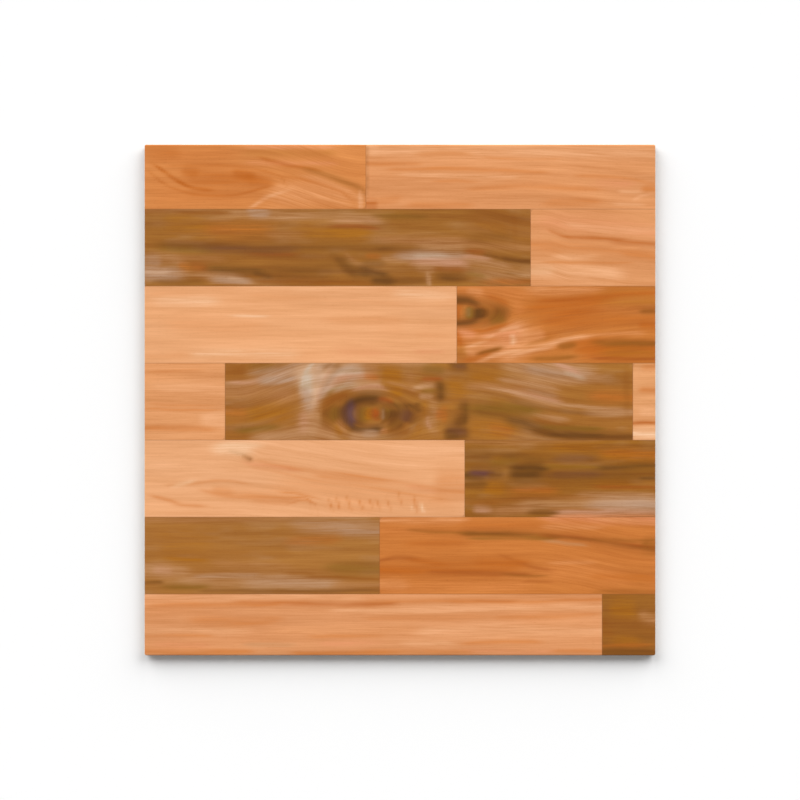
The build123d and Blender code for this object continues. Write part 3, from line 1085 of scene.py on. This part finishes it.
# %% Sixth row: a smooth brown strip
draw_strip(5, 0, (167, 112, 60), 0.8, bloom=0.2, marks=[
    ("golden", 0.35, 12, (10, 24), (60, 24)),
    ("tan", 0.5, 3, (0, 2), (130, 2)),
    ("dove", 0.3, 6, (130, 7), (180, 9), (207, 10)),
    ("dove", 0.35, 3, (172, 12), (190, 13), (207, 13)),
    ("rust", 0.35, 3, (125, 21), (172, 19)),
    ("golden", 0.65, 2.2, (18, 36), (54, 37)),
    ("olive", 0.5, 4, (160, 44), (208, 44)),
    ("olive", 0.4, 3, (170, 48), (208, 48)),
    ("fawn", 0.55, 6, (2, 46), (40, 49)),
    ("blush", 0.35, 3.5, (8, 47), (24, 47)),
    ("fawn", 0.55, 6, (36, 56), (90, 56), (170, 58)),
    ("dove", 0.3, 5, (90, 58), (130, 58), (168, 58)),
    ("tan", 0.4, 3, (60, 40), (130, 44)),
    ("dove", 0.35, 2, (44, 52), (100, 51)),
    ("tan", 0.6, 4, (166, 60), (208, 60)),
    ("olive", 0.6, 2.4, (16, 61), (56, 61)),
    ("bark", 0.75, 1.4, (0, 57), (16, 57)),
    ("bark", 0.6, 1.3, (50, 65), (120, 65), (208, 65)),
    ("brown", 0.8, 1.3, (142, 52), (170, 52.5), (208, 55)),
    ("brown", 0.5, 1.2, (124, 49), (150, 49)),
    ("brown", 0.3, 2, (60, 30), (130, 32)),
])

# %% Sixth row: a russet strip with a long dark line
draw_strip(5, 1, (202, 123, 65), 0.8, falls=[(340, 450, 15)], marks=[
    ("amber", 0.7, 6, (205, 61), (260, 62), (340, 61)),
    ("apricot", 0.4, 4, (205, 60), (232, 60)),
    ("apricot", 0.5, 3, (205, 2), (284, 2)),
    ("salmon", 0.7, 4, (350, 0), (400, 1), (452, 3)),
    ("apricot", 0.4, 2, (396, 2), (452, 5)),
    ("amber", 0.6, 8, (348, 47), (390, 48), (425, 55)),
    ("rust", 0.35, 3.5, (280, 6), (350, 7)),
    ("rust", 0.55, 6, (209, 45), (260, 46), (330, 44)),
    ("rust", 0.4, 4, (230, 24), (284, 22)),
    ("amber", 0.4, 4, (208, 12), (250, 10)),
    ("brown", 0.5, 1.6, (232, 11), (262, 13), (290, 14)),
    ("brown", 0.8, 2.6, (276, 14), (300, 14.5), (330, 15), (348, 16.5), (366, 18)),
    ("bark", 0.5, 1.4, (282, 14), (310, 14.5), (344, 16)),
    ("olive", 0.5, 1.4, (284, 18), (330, 18.5), (362, 19)),
    ("brick", 0.75, 2.3, (350, 16.5), (378, 18), (396, 20), (412, 23), (432, 26), (452, 28)),
    ("bark", 0.3, 1.4, (356, 17), (378, 18.5), (396, 20.5), (412, 24), (432, 27), (452, 30)),
    ("fawn", 0.5, 1.3, (352, 21), (372, 23), (390, 25)),
    ("brown", 0.5, 1.6, (390, 19), (420, 21), (452, 21)),
    ("brown", 0.6, 6, (438, 24), (452, 28)),
    ("brick", 0.6, 1.8, (205, 39), (222, 35.5), (240, 36)),
    ("rust", 0.6, 1.8, (232, 37), (247, 39), (264, 42)),
    ("rust", 0.7, 2, (207, 47), (246, 48)),
    ("brick", 0.55, 1.8, (250, 48), (290, 49), (322, 50), (340, 51)),
    ("brown", 0.6, 1.2, (316, 50), (335, 52), (354, 52)),
    ("brick", 0.45, 1.5, (312, 33), (325, 38), (340, 43), (360, 47)),
    ("rust", 0.6, 4, (290, 39), (338, 40)),
    ("brick", 0.35, 1.2, (334, 57), (360, 57)),
    ("apricot", 0.4, 2, (350, 8), (402, 9)),
    ("apricot", 0.35, 1.6, (358, 40), (396, 40)),
    ("rust", 0.5, 3, (394, 52), (452, 54)),
    ("brown", 0.4, 2, (396, 66), (452, 66)),
])

# %% Bottom row: a long amber strip, and the corner of a dark one
draw_strip(6, 0, (222, 152, 103), 0.65, marks=[
    ("peach", 0.45, 2.6, (0, 2), (90, 2.5), (190, 3)),
    ("peach", 0.4, 4, (0, 31), (50, 31), (96, 31)),
    ("peach", 0.45, 3, (165, 15), (260, 13), (404, 12)),
    ("peach", 0.45, 5, (240, 34), (320, 32), (404, 33)),
    ("apricot", 0.4, 5, (110, 33), (240, 31)),
    ("amber", 0.6, 1.8, (4, 10), (60, 10), (120, 9)),
    ("rust", 0.55, 1.9, (80, 7), (130, 8), (170, 9), (222, 8)),
    ("amber", 0.7, 1.8, (195, 6), (260, 6), (320, 6), (404, 5)),
    ("rust", 0.45, 1.2, (290, 6), (328, 6)),
    ("amber", 0.55, 3.5, (40, 22), (90, 24), (120, 22)),
    ("amber", 0.4, 2.4, (195, 21), (305, 20)),
    ("amber", 0.5, 2, (308, 21), (350, 20), (400, 18)),
    ("amber", 0.5, 1.6, (145, 37), (210, 37)),
    ("amber", 0.4, 1.5, (0, 37), (60, 37)),
    ("salmon", 0.5, 2.6, (10, 45), (56, 45)),
    ("fawn", 0.35, 1.8, (88, 45), (132, 45)),
    ("salmon", 0.45, 2.4, (155, 43), (210, 43)),
    ("peach", 0.5, 2.4, (228, 43), (272, 43)),
    ("amber", 0.75, 1.6, (280, 43), (312, 41.5), (350, 42)),
    ("salmon", 0.5, 2.2, (280, 50), (330, 51), (366, 50)),
    ("amber", 0.75, 2.4, (0, 51), (96, 51)),
    ("amber", 0.65, 2, (130, 52), (288, 51)),
    ("amber", 0.6, 1.8, (360, 50), (404, 51)),
])
draw_strip(6, 1, (154, 99, 50), 1.0, marks=[
    ("golden", 0.6, 8, (410, 12), (432, 14)),
    ("brown", 0.6, 6, (405, 28), (408, 40)),
    ("tan", 0.7, 4, (436, 18), (452, 24)),
    ("golden", 0.5, 4, (412, 42), (437, 41)),
    ("bark", 0.85, 2.8, (403, 51), (432, 51), (452, 52)),
    ("rust", 0.4, 1.6, (404, 46), (446, 45)),
    ("bark", 0.4, 1.2, (432, 37), (452, 38)),
])
print(len(strips), "strips,", sum(len(strip["marks"]) for strip in strips), "marks in all")

# %% [markdown]
# Painting the face
# Paint goes on the corners of the faces, not on the points, so that two strips
# can meet in a sharp line. Two coats are kept apart: "ground", the tone of the
# strip, and "figure", the marks with their cover as alpha. The material breaks
# the figure's edge up with fine fibres, which the grid would be too coarse for.

# %% Soft random streaks
# The table of random values repeats after this many patches each way
PATCHES = 64


def smooth(part):
    """A smooth step from 0 to 1."""
    return part * part * (3 - 2 * part)


def streaks(along, across, length, width, seed):
    """Smooth random values from -1 to 1, in patches of this length and width."""
    table = np.random.default_rng(seed).uniform(-1.0, 1.0, (PATCHES, PATCHES))
    u = along / length
    v = across / width
    i = np.floor(u).astype(int)
    j = np.floor(v).astype(int)
    p = smooth(u - i)
    q = smooth(v - j)
    left, right = i % PATCHES, (i + 1) % PATCHES
    above, below = j % PATCHES, (j + 1) % PATCHES
    upper = table[left, above] * (1 - p) + table[right, above] * p
    lower = table[left, below] * (1 - p) + table[right, below] * p
    return upper * (1 - q) + lower * q


print("a streak at the origin:", streaks(np.zeros(1), np.zeros(1), 34, 7, seed=1).round(3))

# %% A curve through the points of a mark
def curve_through(points, run_on, steps=6):
    """A smooth curve through the points, which runs on straight at both ends."""
    given = np.array([points[0], *points, points[-1]], float)
    t = np.linspace(0, 1, steps, endpoint=False)[:, None]
    spans = []
    for a, b, c, d in zip(given, given[1:], given[2:], given[3:]):
        bend = 2 * b + (c - a) * t + (2 * a - 5 * b + 4 * c - d) * t**2
        spans.append((bend + (3 * b - a - 3 * c + d) * t**3) / 2)
    first = given[0] + run_on * (given[0] - given[2]) / math.dist(given[0], given[2])
    last = given[-1] + run_on * (given[-1] - given[-3]) / math.dist(given[-1], given[-3])
    return np.vstack([first, *spans, given[-1:], last])


print("a stroke of two points is", len(curve_through([(0, 0), (10, 0)], run_on=2.0)) - 1, "spans")

# %% The distance to a stroke
TINY = 1e-6


def nearest(along, across, path):
    """Distance to a path, and how far along the path, in mm, the nearest point is."""
    best = np.full(len(along), np.inf)
    travelled = np.zeros(len(along))
    passed = 0.0
    for start, end in zip(path, path[1:]):
        span = end - start
        length = max(float(np.hypot(*span)), TINY)
        t = ((along - start[0]) * span[0] + (across - start[1]) * span[1]) / length**2
        t = np.clip(t, 0, 1)
        gap = np.hypot(along - start[0] - t * span[0], across - start[1] - t * span[1])
        nearer = gap < best
        best[nearer] = gap[nearer]
        travelled[nearer] = passed + t[nearer] * length
        passed += length
    return best, travelled, passed


line = np.array([[0.0, 0.0], [10.0, 0.0]])
print("a place 3 mm beside a line:", *nearest(np.array([5.0]), np.array([3.0]), line))

# %% The ends of a stroke
RUNS_OUT = 2.0


def faded(strip, points, travelled, length, reach):
    """A mark comes and goes within its reach, but runs on where the strip ends."""
    fade = np.ones(len(travelled))
    for from_end, point in ((travelled, points[0]), (length - travelled, points[-1])):
        if strip["start"] + RUNS_OUT < point[0] < strip["end"] - RUNS_OUT:
            fade = np.minimum(fade, np.clip(from_end / reach, 0, 1))
    return smooth(fade)


print("a mark that starts within", RUNS_OUT, "mm of its strip's end runs on over it")

# %% [markdown]
# Round a knot the lines of the grain are those of a stream round a post. Inside
# it they close to rings. Both follow from one number: how many times farther
# from the knot's middle than its rim a place is.

# %% The flow of the grain
def flow(strip, along, across):
    """Across, as the grain sees it: the same value all along one fibre."""
    grain = across.copy()
    for start, end, amount in strip["falls"]:
        t = np.clip((along - start) / (end - start), 0, 1)
        grain -= amount * smooth(t)
    for knot_along, knot_across, half_length, half_width in strip["knots"]:
        dx = (along - knot_along) / half_length
        dy = (across - knot_across) / half_width
        times = np.hypot(dx, dy)
        outside = np.maximum(times, 1.0)
        parted = -half_width * dy / outside**2
        ringed = -half_width * dy - half_width * (1 - times)
        grain += np.where(times > 1, parted, ringed)
    return grain


print("grain turns round", sum(len(strip["knots"]) for strip in strips), "knots")

# %% [markdown]
# Every corner of every face is painted on its own. So the painter first needs to
# know where each corner lies, and which row and strip its face belongs to. The
# outermost strips also run on over the arris and the edge.

# %% Places of the corners and faces
JUST_INSIDE = 0.01

corners = len(mesh.loops)
vertex_of = np.empty(corners, np.int32)
mesh.loops.foreach_get("vertex_index", vertex_of)
places = np.empty(len(mesh.vertices) * 3, np.float32)
mesh.vertices.foreach_get("co", places)
corner = places.reshape(-1, 3)[vertex_of] / MM
sides = np.empty(len(mesh.polygons), np.int32)
mesh.polygons.foreach_get("loop_total", sides)
face_of = np.repeat(np.arange(len(sides)), sides)
middle = np.empty(len(mesh.polygons) * 3, np.float32)
mesh.polygons.foreach_get("center", middle)
middle = middle.reshape(-1, 3) / MM

from_left = corner[:, 0] + SIDE_MM / 2
face_from_left = np.clip(middle[:, 0] + SIDE_MM / 2, JUST_INSIDE, SIDE_MM - JUST_INSIDE)
face_row = np.searchsorted(-np.array(row_joints), -middle[:, 1])
print(corners, "corners on", len(sides), "faces")

# %% [markdown]
# A mark's strength falls off across it as a bell does, and its edge wanders. It
# is broken up along the fibre, as a real line of grain is. Each coat covers part
# of the coats before it.

# %% What varies at random
EDGE_WANDER = ((0.7, 38, 9), (0.4, 11, 4))
BREAKS = ((0.4, 34, 2.6),)
UNEVEN_TONE = ((0.02, 90, 12),)
HAZE_PATCHES = ((1.0, 34, 7), (0.5, 12, 3))
BREAKS_SEED = 2
TONE_SEED = 90
HAZE_SEED = 91


def wandering(layers, along, across, seed):
    """Streaks of several sizes, added up: for each its weight, length and width."""
    return sum(
        weight * streaks(along, across, length, width, seed + place)
        for place, (weight, length, width) in enumerate(layers)
    )


print("an edge wanders by up to", round(sum(weight for weight, *_ in EDGE_WANDER), 1), "mm")

# %% The coat of the marks
FADE = 12.0
FADE_BY_WIDTH = 1.5
LONGEST_FADE = 0.45
THIN_ENDS = 0.4


def figure_of(strip, seed, along, across, grain):
    """Colour of all the marks of a strip together, and how far they cover."""
    across = across + wandering(EDGE_WANDER, along, across, seed)
    paint = np.zeros((len(along), 3))
    cover = np.zeros(len(along))
    for order, (stain, strength, half_width, *points) in enumerate(strip["marks"]):
        drawn = sum(math.dist(*pair) for pair in zip(points, points[1:]))
        reach = min(FADE + FADE_BY_WIDTH * half_width, LONGEST_FADE * drawn)
        gap, travelled, length = nearest(along, across, curve_through(points, reach / 2))
        taper = half_width * (1 - THIN_ENDS + THIN_ENDS * np.sin(np.pi * travelled / length))
        broken = 1 + wandering(BREAKS, along, grain, seed + BREAKS_SEED + order)
        broken *= faded(strip, points, travelled, length, reach)
        coat = np.clip(strength * 0.5 ** ((gap / taper) ** 2) * broken, 0, 1)
        covered = coat + cover * (1 - coat)
        share = coat / np.maximum(covered, TINY)
        paint += (np.array(PALETTE[stain]) - paint) * share[:, None]
        cover = covered
    return paint, cover


print("a long mark 4 mm wide fades over", FADE + FADE_BY_WIDTH * 2, "mm")

# %% The coat below them
def ground_of(strip, seed, along, grain):
    """The strip's tone, a little uneven, with its haze."""
    uneven = 1 + wandering(UNEVEN_TONE, along, grain, seed + TONE_SEED)
    tone = np.array(strip["tone"], float) * uneven[:, None]
    haze = np.clip(wandering(HAZE_PATCHES, along, grain, seed + HAZE_SEED), 0, 1)
    return tone + (np.array(PALETTE["dove"]) - tone) * (strip["bloom"] * haze)[:, None]


print(sum(strip["bloom"] > 0 for strip in strips), "strips have a haze")

# %% Paint every strip
FIBRE_SHIFT = (531, 97)
SEEDS_APART = 100

ground = np.zeros((corners, 3))
figure = np.zeros((corners, 4))
fibre = np.zeros((corners, 3))
for number, strip in enumerate(strips):
    in_strip = (face_from_left > strip["start"]) & (face_from_left < strip["end"])
    here = np.flatnonzero((in_strip & (face_row == strip["row"]))[face_of])
    along = from_left[here]
    across = row_top(strip["row"]) - corner[here, 1]
    grain = flow(strip, along, across)
    seed = SEEDS_APART * number
    ground[here] = ground_of(strip, seed, along, grain)
    figure[here, :3], figure[here, 3] = figure_of(strip, seed, along, across, grain)
    fibre[here, 0] = along + FIBRE_SHIFT[0] * number
    fibre[here, 1] = grain + FIBRE_SHIFT[1] * number
    fibre[here, 2] = strip["grain"]
print("marks cover", round(float(figure[:, 3].mean()) * 100), "% on average")

# %% [markdown]
# The glaze reflects the white room, and that lies over the whole print as a thin
# even sheen. The stains are given as they look through it, so this much light is
# taken off the paint again.
#
# A joint of the printed floor is a fine dark line. "joint" keeps the distance to
# the nearest one, so that the material can draw the line as thin as it is.

# %% Distance to the joints, and the attributes of the mesh
# The paint is never darker than DEEPEST, once the sheen is taken off
SHEEN = 0.02
DEEPEST = 0.002

joint = np.full(corners, STRIP_WIDTH)
for row_joint in row_joints:
    joint = np.minimum(joint, abs(corner[:, 1] - row_joint))
for row, ends in enumerate(STRIP_ENDS):
    in_row = (face_row == row)[face_of]
    for end in ends:
        joint[in_row] = np.minimum(joint[in_row], abs(from_left[in_row] - end))


def linear(colour):
    """Screen colours of 0 to 255 as the linear ones that a shader takes."""
    part = np.clip(colour / 255.0, 0, 1)
    return np.where(part < 0.04045, part / 12.92, ((part + 0.055) / 1.055) ** 2.4)


def keep(name, kind, field, values):
    """One value for each corner of the mesh, under a name the material reads."""
    layer = mesh.attributes.new(name, kind, "CORNER")
    layer.data.foreach_set(field, np.asarray(values, np.float32).ravel())


ground = np.maximum(linear(ground) - SHEEN, DEEPEST)
stains = np.maximum(linear(figure[:, :3]) - SHEEN, DEEPEST)
keep("ground", "FLOAT_COLOR", "color", np.column_stack([ground, np.ones(corners)]))
keep("figure", "FLOAT_COLOR", "color", np.column_stack([stains, figure[:, 3]]))
keep("fibre", "FLOAT_VECTOR", "vector", fibre)
keep("joint", "FLOAT", "value", joint)
print("painted", len(strips), "strips on", corners, "corners")

# %% [markdown]
# The map of the surface
# The materials can be baked to one square picture, and a map says where each
# face lies in it. Smart UV Project would part the edge from the face, since the
# two are at right angles. Here they unfold to one square, by how far a place has
# dropped over the rim. The back, which is plainer, is cut in three bands of four
# rows of cells, at a smaller scale, and they lie in the space that is left beside
# and above the square.

# %% The unfolded map
MAP_OF_FACE = 0.79
MAP_EDGE = 0.006
DOWNWARD = -0.95

normal = np.empty(len(mesh.polygons) * 3, np.float32)
mesh.polygons.foreach_get("normal", normal)
foot_half = (SIDE - 2 * PLATE_SIZES["Bevel Width"]) / MM / 2
in_field = abs(middle[:, :2]).max(axis=1) < foot_half - PLATE_SIZES["Border"] / MM / 2
in_cell = in_field & (middle[:, 2] < PLATE_SIZES["Bevel Height"] / MM)
on_back = ((normal.reshape(-1, 3)[:, 2] < DOWNWARD) | in_cell)[face_of]

arc_middle = (SIDE / 2 - PLATE_SIZES["Corner Radius"]) / MM
over = np.sign(corner[:, :2]) * np.maximum(abs(corner[:, :2]) - arc_middle, 0)
past_arc = np.hypot(over[:, 0], over[:, 1])[:, None]
away = np.divide(over, past_arc, out=np.zeros_like(over), where=past_arc > 0)
unfolded = corner[:, :2] + away * (THICKNESS / MM - corner[:, 2:])
half_unfolded = foot_half + THICKNESS / MM
surface_map = MAP_OF_FACE * (0.5 + unfolded / (2 * half_unfolded) * (1 - MAP_EDGE))
print("face and edge fill", MAP_OF_FACE, "of the map each way")

# %% The back's three bands on the map
CELL_ROWS_IN_BAND = 4
BAND_LENGTH = 0.49
BAND_PITCH = 0.5
ABOVE_FACE = 0.015
BESIDE_FACE = 0.19
MARGIN = 0.01
LOW_MARGIN = 0.005

field = 2 * (foot_half - PLATE_SIZES["Border"] / MM)
cell_pitch = (field + PLATE_SIZES["Rib Width"] / MM) / CELLS_PER_SIDE
cut = cell_pitch * (CELLS_PER_SIDE / 2 - CELL_ROWS_IN_BAND)
band = np.digitize(middle[:, 1], [-cut, cut])[face_of]
lengthwise = (foot_half - corner[:, 0]) / (2 * foot_half) * BAND_LENGTH
for place, start in enumerate((-foot_half, -cut, cut)):
    rise = (corner[:, 1] - start) / (2 * foot_half) * BAND_LENGTH
    here = on_back & (band == place)
    if place == 0:
        surface_map[here, 0] = MARGIN + lengthwise[here]
        surface_map[here, 1] = MAP_OF_FACE + ABOVE_FACE + rise[here]
    else:
        surface_map[here, 0] = MAP_OF_FACE + BESIDE_FACE - rise[here]
        surface_map[here, 1] = LOW_MARGIN + (place - 1) * BAND_PITCH + lengthwise[here]
uv = mesh.uv_layers.new(name="OFBake")
uv.data.foreach_set("uv", surface_map.astype(np.float32).ravel())
print("map from", surface_map.min().round(3), "to", surface_map.max().round(3))

# %% [markdown]
# Fired clay
# Under the glaze is a grey-brown body, pressed from powder: fine pale and dark
# grains, and a dry surface. It shows on the edge below the glaze and on the whole
# back, so it is a node group that both materials use, each with its own dust of
# white kiln wash. The wash is the powder that keeps the back from sticking to the
# kiln's rollers. Noise that reads the place in space needs no map, and shows no
# seam where the edge turns into the back.

# %% The node group of fired clay
clay = bpy.data.node_groups.new("fired_clay", "ShaderNodeTree")
for name, kind in (("Position", "Vector"), ("Wash", "Float")):
    clay.interface.new_socket(name=name, in_out="INPUT", socket_type="NodeSocket" + kind)
for name, kind in (("Color", "Color"), ("Height", "Float")):
    clay.interface.new_socket(name=name, in_out="OUTPUT", socket_type="NodeSocket" + kind)
given = node(clay, "NodeGroupInput").outputs


def noise(tree, place, scale, detail=2.0, roughness=0.5):
    """Noise of this many waves a metre, from about 0.2 to 0.8."""
    inputs = {"Vector": place, "Scale": scale, "Detail": detail, "Roughness": roughness}
    return node(tree, "ShaderNodeTexNoise", inputs).outputs[0]


def shade(red, green, blue):
    """A screen colour for a colour socket."""
    return (*linear(np.array([red, green, blue], float)), 1.0)


blotches = noise(clay, given["Position"], scale=45.0, detail=3.0)
grit = noise(clay, given["Position"], scale=900.0, detail=2.0)
pits = noise(clay, given["Position"], scale=420.0, detail=1.0)
powder = noise(clay, given["Position"], scale=130.0, detail=4.0, roughness=0.7)

CLAY = (148, 128, 110)
PIT_DEPTH = 1.5

# For each coat its pattern, where the pattern starts and is full, how strong it
# is at most, and its colour
CLAY_COATS = (
    (blotches, 0.3, 0.7, 1.0, (164, 145, 126)),
    (grit, 0.55, 0.75, 0.55, (198, 182, 162)),
    (grit, 0.42, 0.25, 0.6, (98, 84, 72)),
    (powder, 0.3, 0.62, given["Wash"], (226, 218, 206)),
)
colour = shade(*CLAY)
for pattern, start, full, strength, stain in CLAY_COATS:
    share = calc(clay, "MULTIPLY", ramp(clay, pattern, start, full), strength)
    colour = mix(clay, share, colour, shade(*stain))
pitted = calc(clay, "MULTIPLY", ramp(clay, pits, 0.62, 0.72), PIT_DEPTH)
height = calc(clay, "SUBTRACT", grit, pitted)
node(clay, "NodeGroupOutput", {"Color": colour, "Height": height})
print("fired clay has", len(clay.nodes), "nodes")

# %% [markdown]
# The back
# The ribs touched the kiln's rollers and took the white wash, in streaks along
# the way the tile travelled. The cells stayed dark, with a breath of dust.

# %% Material of the bare back
ROLLED_OUT = (0.08, 1.0, 1.0)
STREAKS_PER_METRE = 160.0
RIB_LIP = 0.15 * MM
RIB_TOP = 0.02 * MM
WASH_IN_CELLS = 0.12
WASH_ON_RIBS = 0.25
WASH_IN_STREAKS = 0.6
CLAY_DULLNESS = 0.85
DULLER_WITH_WASH = 0.1
CLAY_GLOSS = 0.25
GRIT_HEIGHT = 0.05 * MM

bare.use_nodes = True
tree = bare.node_tree
place = node(tree, "ShaderNodeTexCoord").outputs["Object"]
place_z = node(tree, "ShaderNodeSeparateXYZ", {0: place}).outputs[2]
stretched = {0: place, 1: ROLLED_OUT}
travelled = node(tree, "ShaderNodeVectorMath", stretched, operation="MULTIPLY").outputs[0]
rolled = ramp(tree, noise(tree, travelled, STREAKS_PER_METRE, detail=3.0), 0.35, 0.6)
on_rib = ramp(tree, place_z, RIB_LIP, RIB_TOP)
rolled = calc(tree, "MULTIPLY_ADD", rolled, WASH_IN_STREAKS, WASH_ON_RIBS)
wash = calc(tree, "ADD", calc(tree, "MULTIPLY", on_rib, rolled), WASH_IN_CELLS)
body = node(tree, "ShaderNodeGroup", {}, node_tree=clay)
tree.links.new(place, body.inputs["Position"])
tree.links.new(wash, body.inputs["Wash"])
shader = tree.nodes["Principled BSDF"]
shader.inputs["Specular IOR Level"].default_value = CLAY_GLOSS
tree.links.new(body.outputs["Color"], shader.inputs["Base Color"])
dull = calc(tree, "MULTIPLY_ADD", wash, DULLER_WITH_WASH, CLAY_DULLNESS)
tree.links.new(dull, shader.inputs["Roughness"])
grain_bump = node(tree, "ShaderNodeBump", {"Height": body.outputs["Height"], "Distance": GRIT_HEIGHT})
tree.links.new(grain_bump.outputs[0], shader.inputs["Normal"])
print("bare back has", len(tree.nodes), "nodes")

# %% [markdown]
# The printed and glazed face
# The material lays fine grain over the painted coats. Noise in plain X and Y
# would run straight through a knot, so all of it follows the fibre attribute:
# broad bands, lines of about a millimetre, fibres finer than that, and the short
# dark dashes of the pores. Where a band is dark, wood turns redder and not just
# darker, so the grain moves between two tints. The glaze ends on the edge in a
# slightly wavy line. Below it shows a strip of the engobe, the white coat that
# hides the clay from the print, and below that the clay.

# %% Grain that follows the fibre
glazed.use_nodes = True
tree = glazed.node_tree
attribute = {
    name: node(tree, "ShaderNodeAttribute", attribute_name=name).outputs
    for name in ("ground", "figure", "fibre", "joint")
}
along, across, contrast = node(tree, "ShaderNodeSeparateXYZ", {0: attribute["fibre"]["Vector"]}).outputs


def grain_noise(length, width, detail, seed):
    """Noise along the fibre, in streaks of this length and width in millimetres."""
    stretched = {0: calc(tree, "MULTIPLY", along, 1 / length), 2: seed}
    stretched[1] = calc(tree, "MULTIPLY", across, 1 / width)
    return noise(tree, node(tree, "ShaderNodeCombineXYZ", stretched).outputs[0], 1.0, detail)


DARK_GRAIN = (0.80, 0.70, 0.54, 1)
LIGHT_GRAIN = (1.20, 1.30, 1.46, 1)
PORE_SHADE = -0.22

bands = grain_noise(length=110.0, width=6.0, detail=3.0, seed=0.3)
lines = grain_noise(length=45.0, width=1.3, detail=2.0, seed=5.1)
hairs = grain_noise(length=16.0, width=0.45, detail=1.0, seed=9.7)
dashes = grain_noise(length=3.4, width=0.34, detail=0.0, seed=14.2)
pores = ramp(tree, dashes, 0.66, 0.76)
spread = 0.0
for pattern, weight in ((bands, 1.5), (lines, 0.7), (hairs, 0.5)):
    centred = calc(tree, "SUBTRACT", pattern, 0.5)
    spread = calc(tree, "MULTIPLY_ADD", centred, weight, spread)
spread = calc(tree, "MULTIPLY_ADD", pores, PORE_SHADE, spread)
light_share = calc(tree, "MULTIPLY_ADD", spread, contrast, 0.5)
tint = mix(tree, light_share, DARK_GRAIN, LIGHT_GRAIN)
print("grain of three sizes, and pores")

# %% Print, joints and the clay below the glaze
GLAZE_FOOT = 6.6 * MM
ENGOBE_FOOT = 5.8 * MM
GLAZE_BLUR = 0.1 * MM
ENGOBE_BLUR = 0.15 * MM
DRIPS = 1.6 * MM
DRIP_WAVES = 70.0
JOINT_HALF_WIDTH = 0.2
JOINT_REACH = 0.7
JOINT_STRENGTH = 0.28
JOINT_COLOUR = (112, 66, 34)
ENGOBE = (232, 214, 192)
DUST_FOOT = 4.0 * MM
DUST_FULL = 6.0 * MM
EDGE_DUST = 0.5
FRAYED_MIDDLE = 0.75
FRAY = 3.0

cover = attribute["figure"]["Alpha"]
edge_of_mark = calc(tree, "MULTIPLY", cover, calc(tree, "SUBTRACT", 1.0, cover))
frayed = calc(tree, "SUBTRACT", calc(tree, "MULTIPLY_ADD", hairs, 0.5, lines), FRAYED_MIDDLE)
frayed = calc(tree, "MULTIPLY", calc(tree, "MULTIPLY", edge_of_mark, frayed), FRAY)
cover = node(tree, "ShaderNodeClamp", {0: calc(tree, "ADD", cover, frayed)}).outputs[0]
printed = mix(tree, cover, attribute["ground"]["Color"], attribute["figure"]["Color"])
printed = mix(tree, 1.0, printed, tint, "MULTIPLY")
joint_line = ramp(tree, attribute["joint"]["Fac"], JOINT_REACH, JOINT_HALF_WIDTH)
joint_line = calc(tree, "MULTIPLY", joint_line, JOINT_STRENGTH)
printed = mix(tree, joint_line, printed, shade(*JOINT_COLOUR))

place = node(tree, "ShaderNodeTexCoord").outputs["Object"]
place_z = node(tree, "ShaderNodeSeparateXYZ", {0: place}).outputs[2]
drips = calc(tree, "MULTIPLY", calc(tree, "SUBTRACT", noise(tree, place, DRIP_WAVES), 0.5), DRIPS)
wavy_z = calc(tree, "ADD", place_z, drips)
is_glaze = ramp(tree, wavy_z, GLAZE_FOOT - GLAZE_BLUR, GLAZE_FOOT + GLAZE_BLUR)
is_engobe = ramp(tree, wavy_z, ENGOBE_FOOT - ENGOBE_BLUR, ENGOBE_FOOT + ENGOBE_BLUR)
body = node(tree, "ShaderNodeGroup", {}, node_tree=clay)
tree.links.new(place, body.inputs["Position"])
dust = calc(tree, "MULTIPLY", ramp(tree, wavy_z, DUST_FOOT, DUST_FULL), EDGE_DUST)
tree.links.new(dust, body.inputs["Wash"])
colour = mix(tree, is_engobe, body.outputs["Color"], shade(*ENGOBE))
colour = mix(tree, is_glaze, colour, printed)
print("glaze ends", round(GLAZE_FOOT / MM, 1), "mm above the floor, engobe", round(ENGOBE_FOOT / MM, 1))

# %% [markdown]
# The glaze is satin. It is a little duller along the joints and the pores, where
# it is thin, and its surface keeps a trace of the grain, far too shallow to feel
# but enough to soften reflections. Bare clay is dull.

# %% Finish of the face
SATIN = 0.36
GLAZE_GLOSS = 0.2
TRACE_HEIGHT = 0.03 * MM

# For each pattern, how much duller it makes the glaze, and how far it raises it
TRACES = ((lines, 0.14, 0.5), (pores, 0.08, -0.35), (joint_line, 0.2, -1.4))
satin = SATIN
trace = 0.0
for pattern, duller, rise in TRACES:
    satin = calc(tree, "MULTIPLY_ADD", pattern, duller, satin)
    trace = calc(tree, "MULTIPLY_ADD", pattern, rise, trace)
bare_share = calc(tree, "SUBTRACT", 1.0, is_glaze)
bare_dullness = calc(tree, "MULTIPLY", bare_share, CLAY_DULLNESS)
roughness = calc(tree, "MULTIPLY_ADD", satin, is_glaze, bare_dullness)
clay_height = calc(tree, "MULTIPLY", body.outputs["Height"], bare_share)
height = calc(tree, "MULTIPLY_ADD", trace, is_glaze, clay_height)
relief = node(tree, "ShaderNodeBump", {"Height": height, "Distance": TRACE_HEIGHT})
shader = tree.nodes["Principled BSDF"]
shader.inputs["Specular IOR Level"].default_value = GLAZE_GLOSS
tree.links.new(colour, shader.inputs["Base Color"])
tree.links.new(roughness, shader.inputs["Roughness"])
tree.links.new(relief.outputs[0], shader.inputs["Normal"])
print("printed glaze has", len(tree.nodes), "nodes")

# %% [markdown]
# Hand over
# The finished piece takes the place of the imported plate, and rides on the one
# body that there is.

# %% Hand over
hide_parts(NODE)
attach(tile, "root")
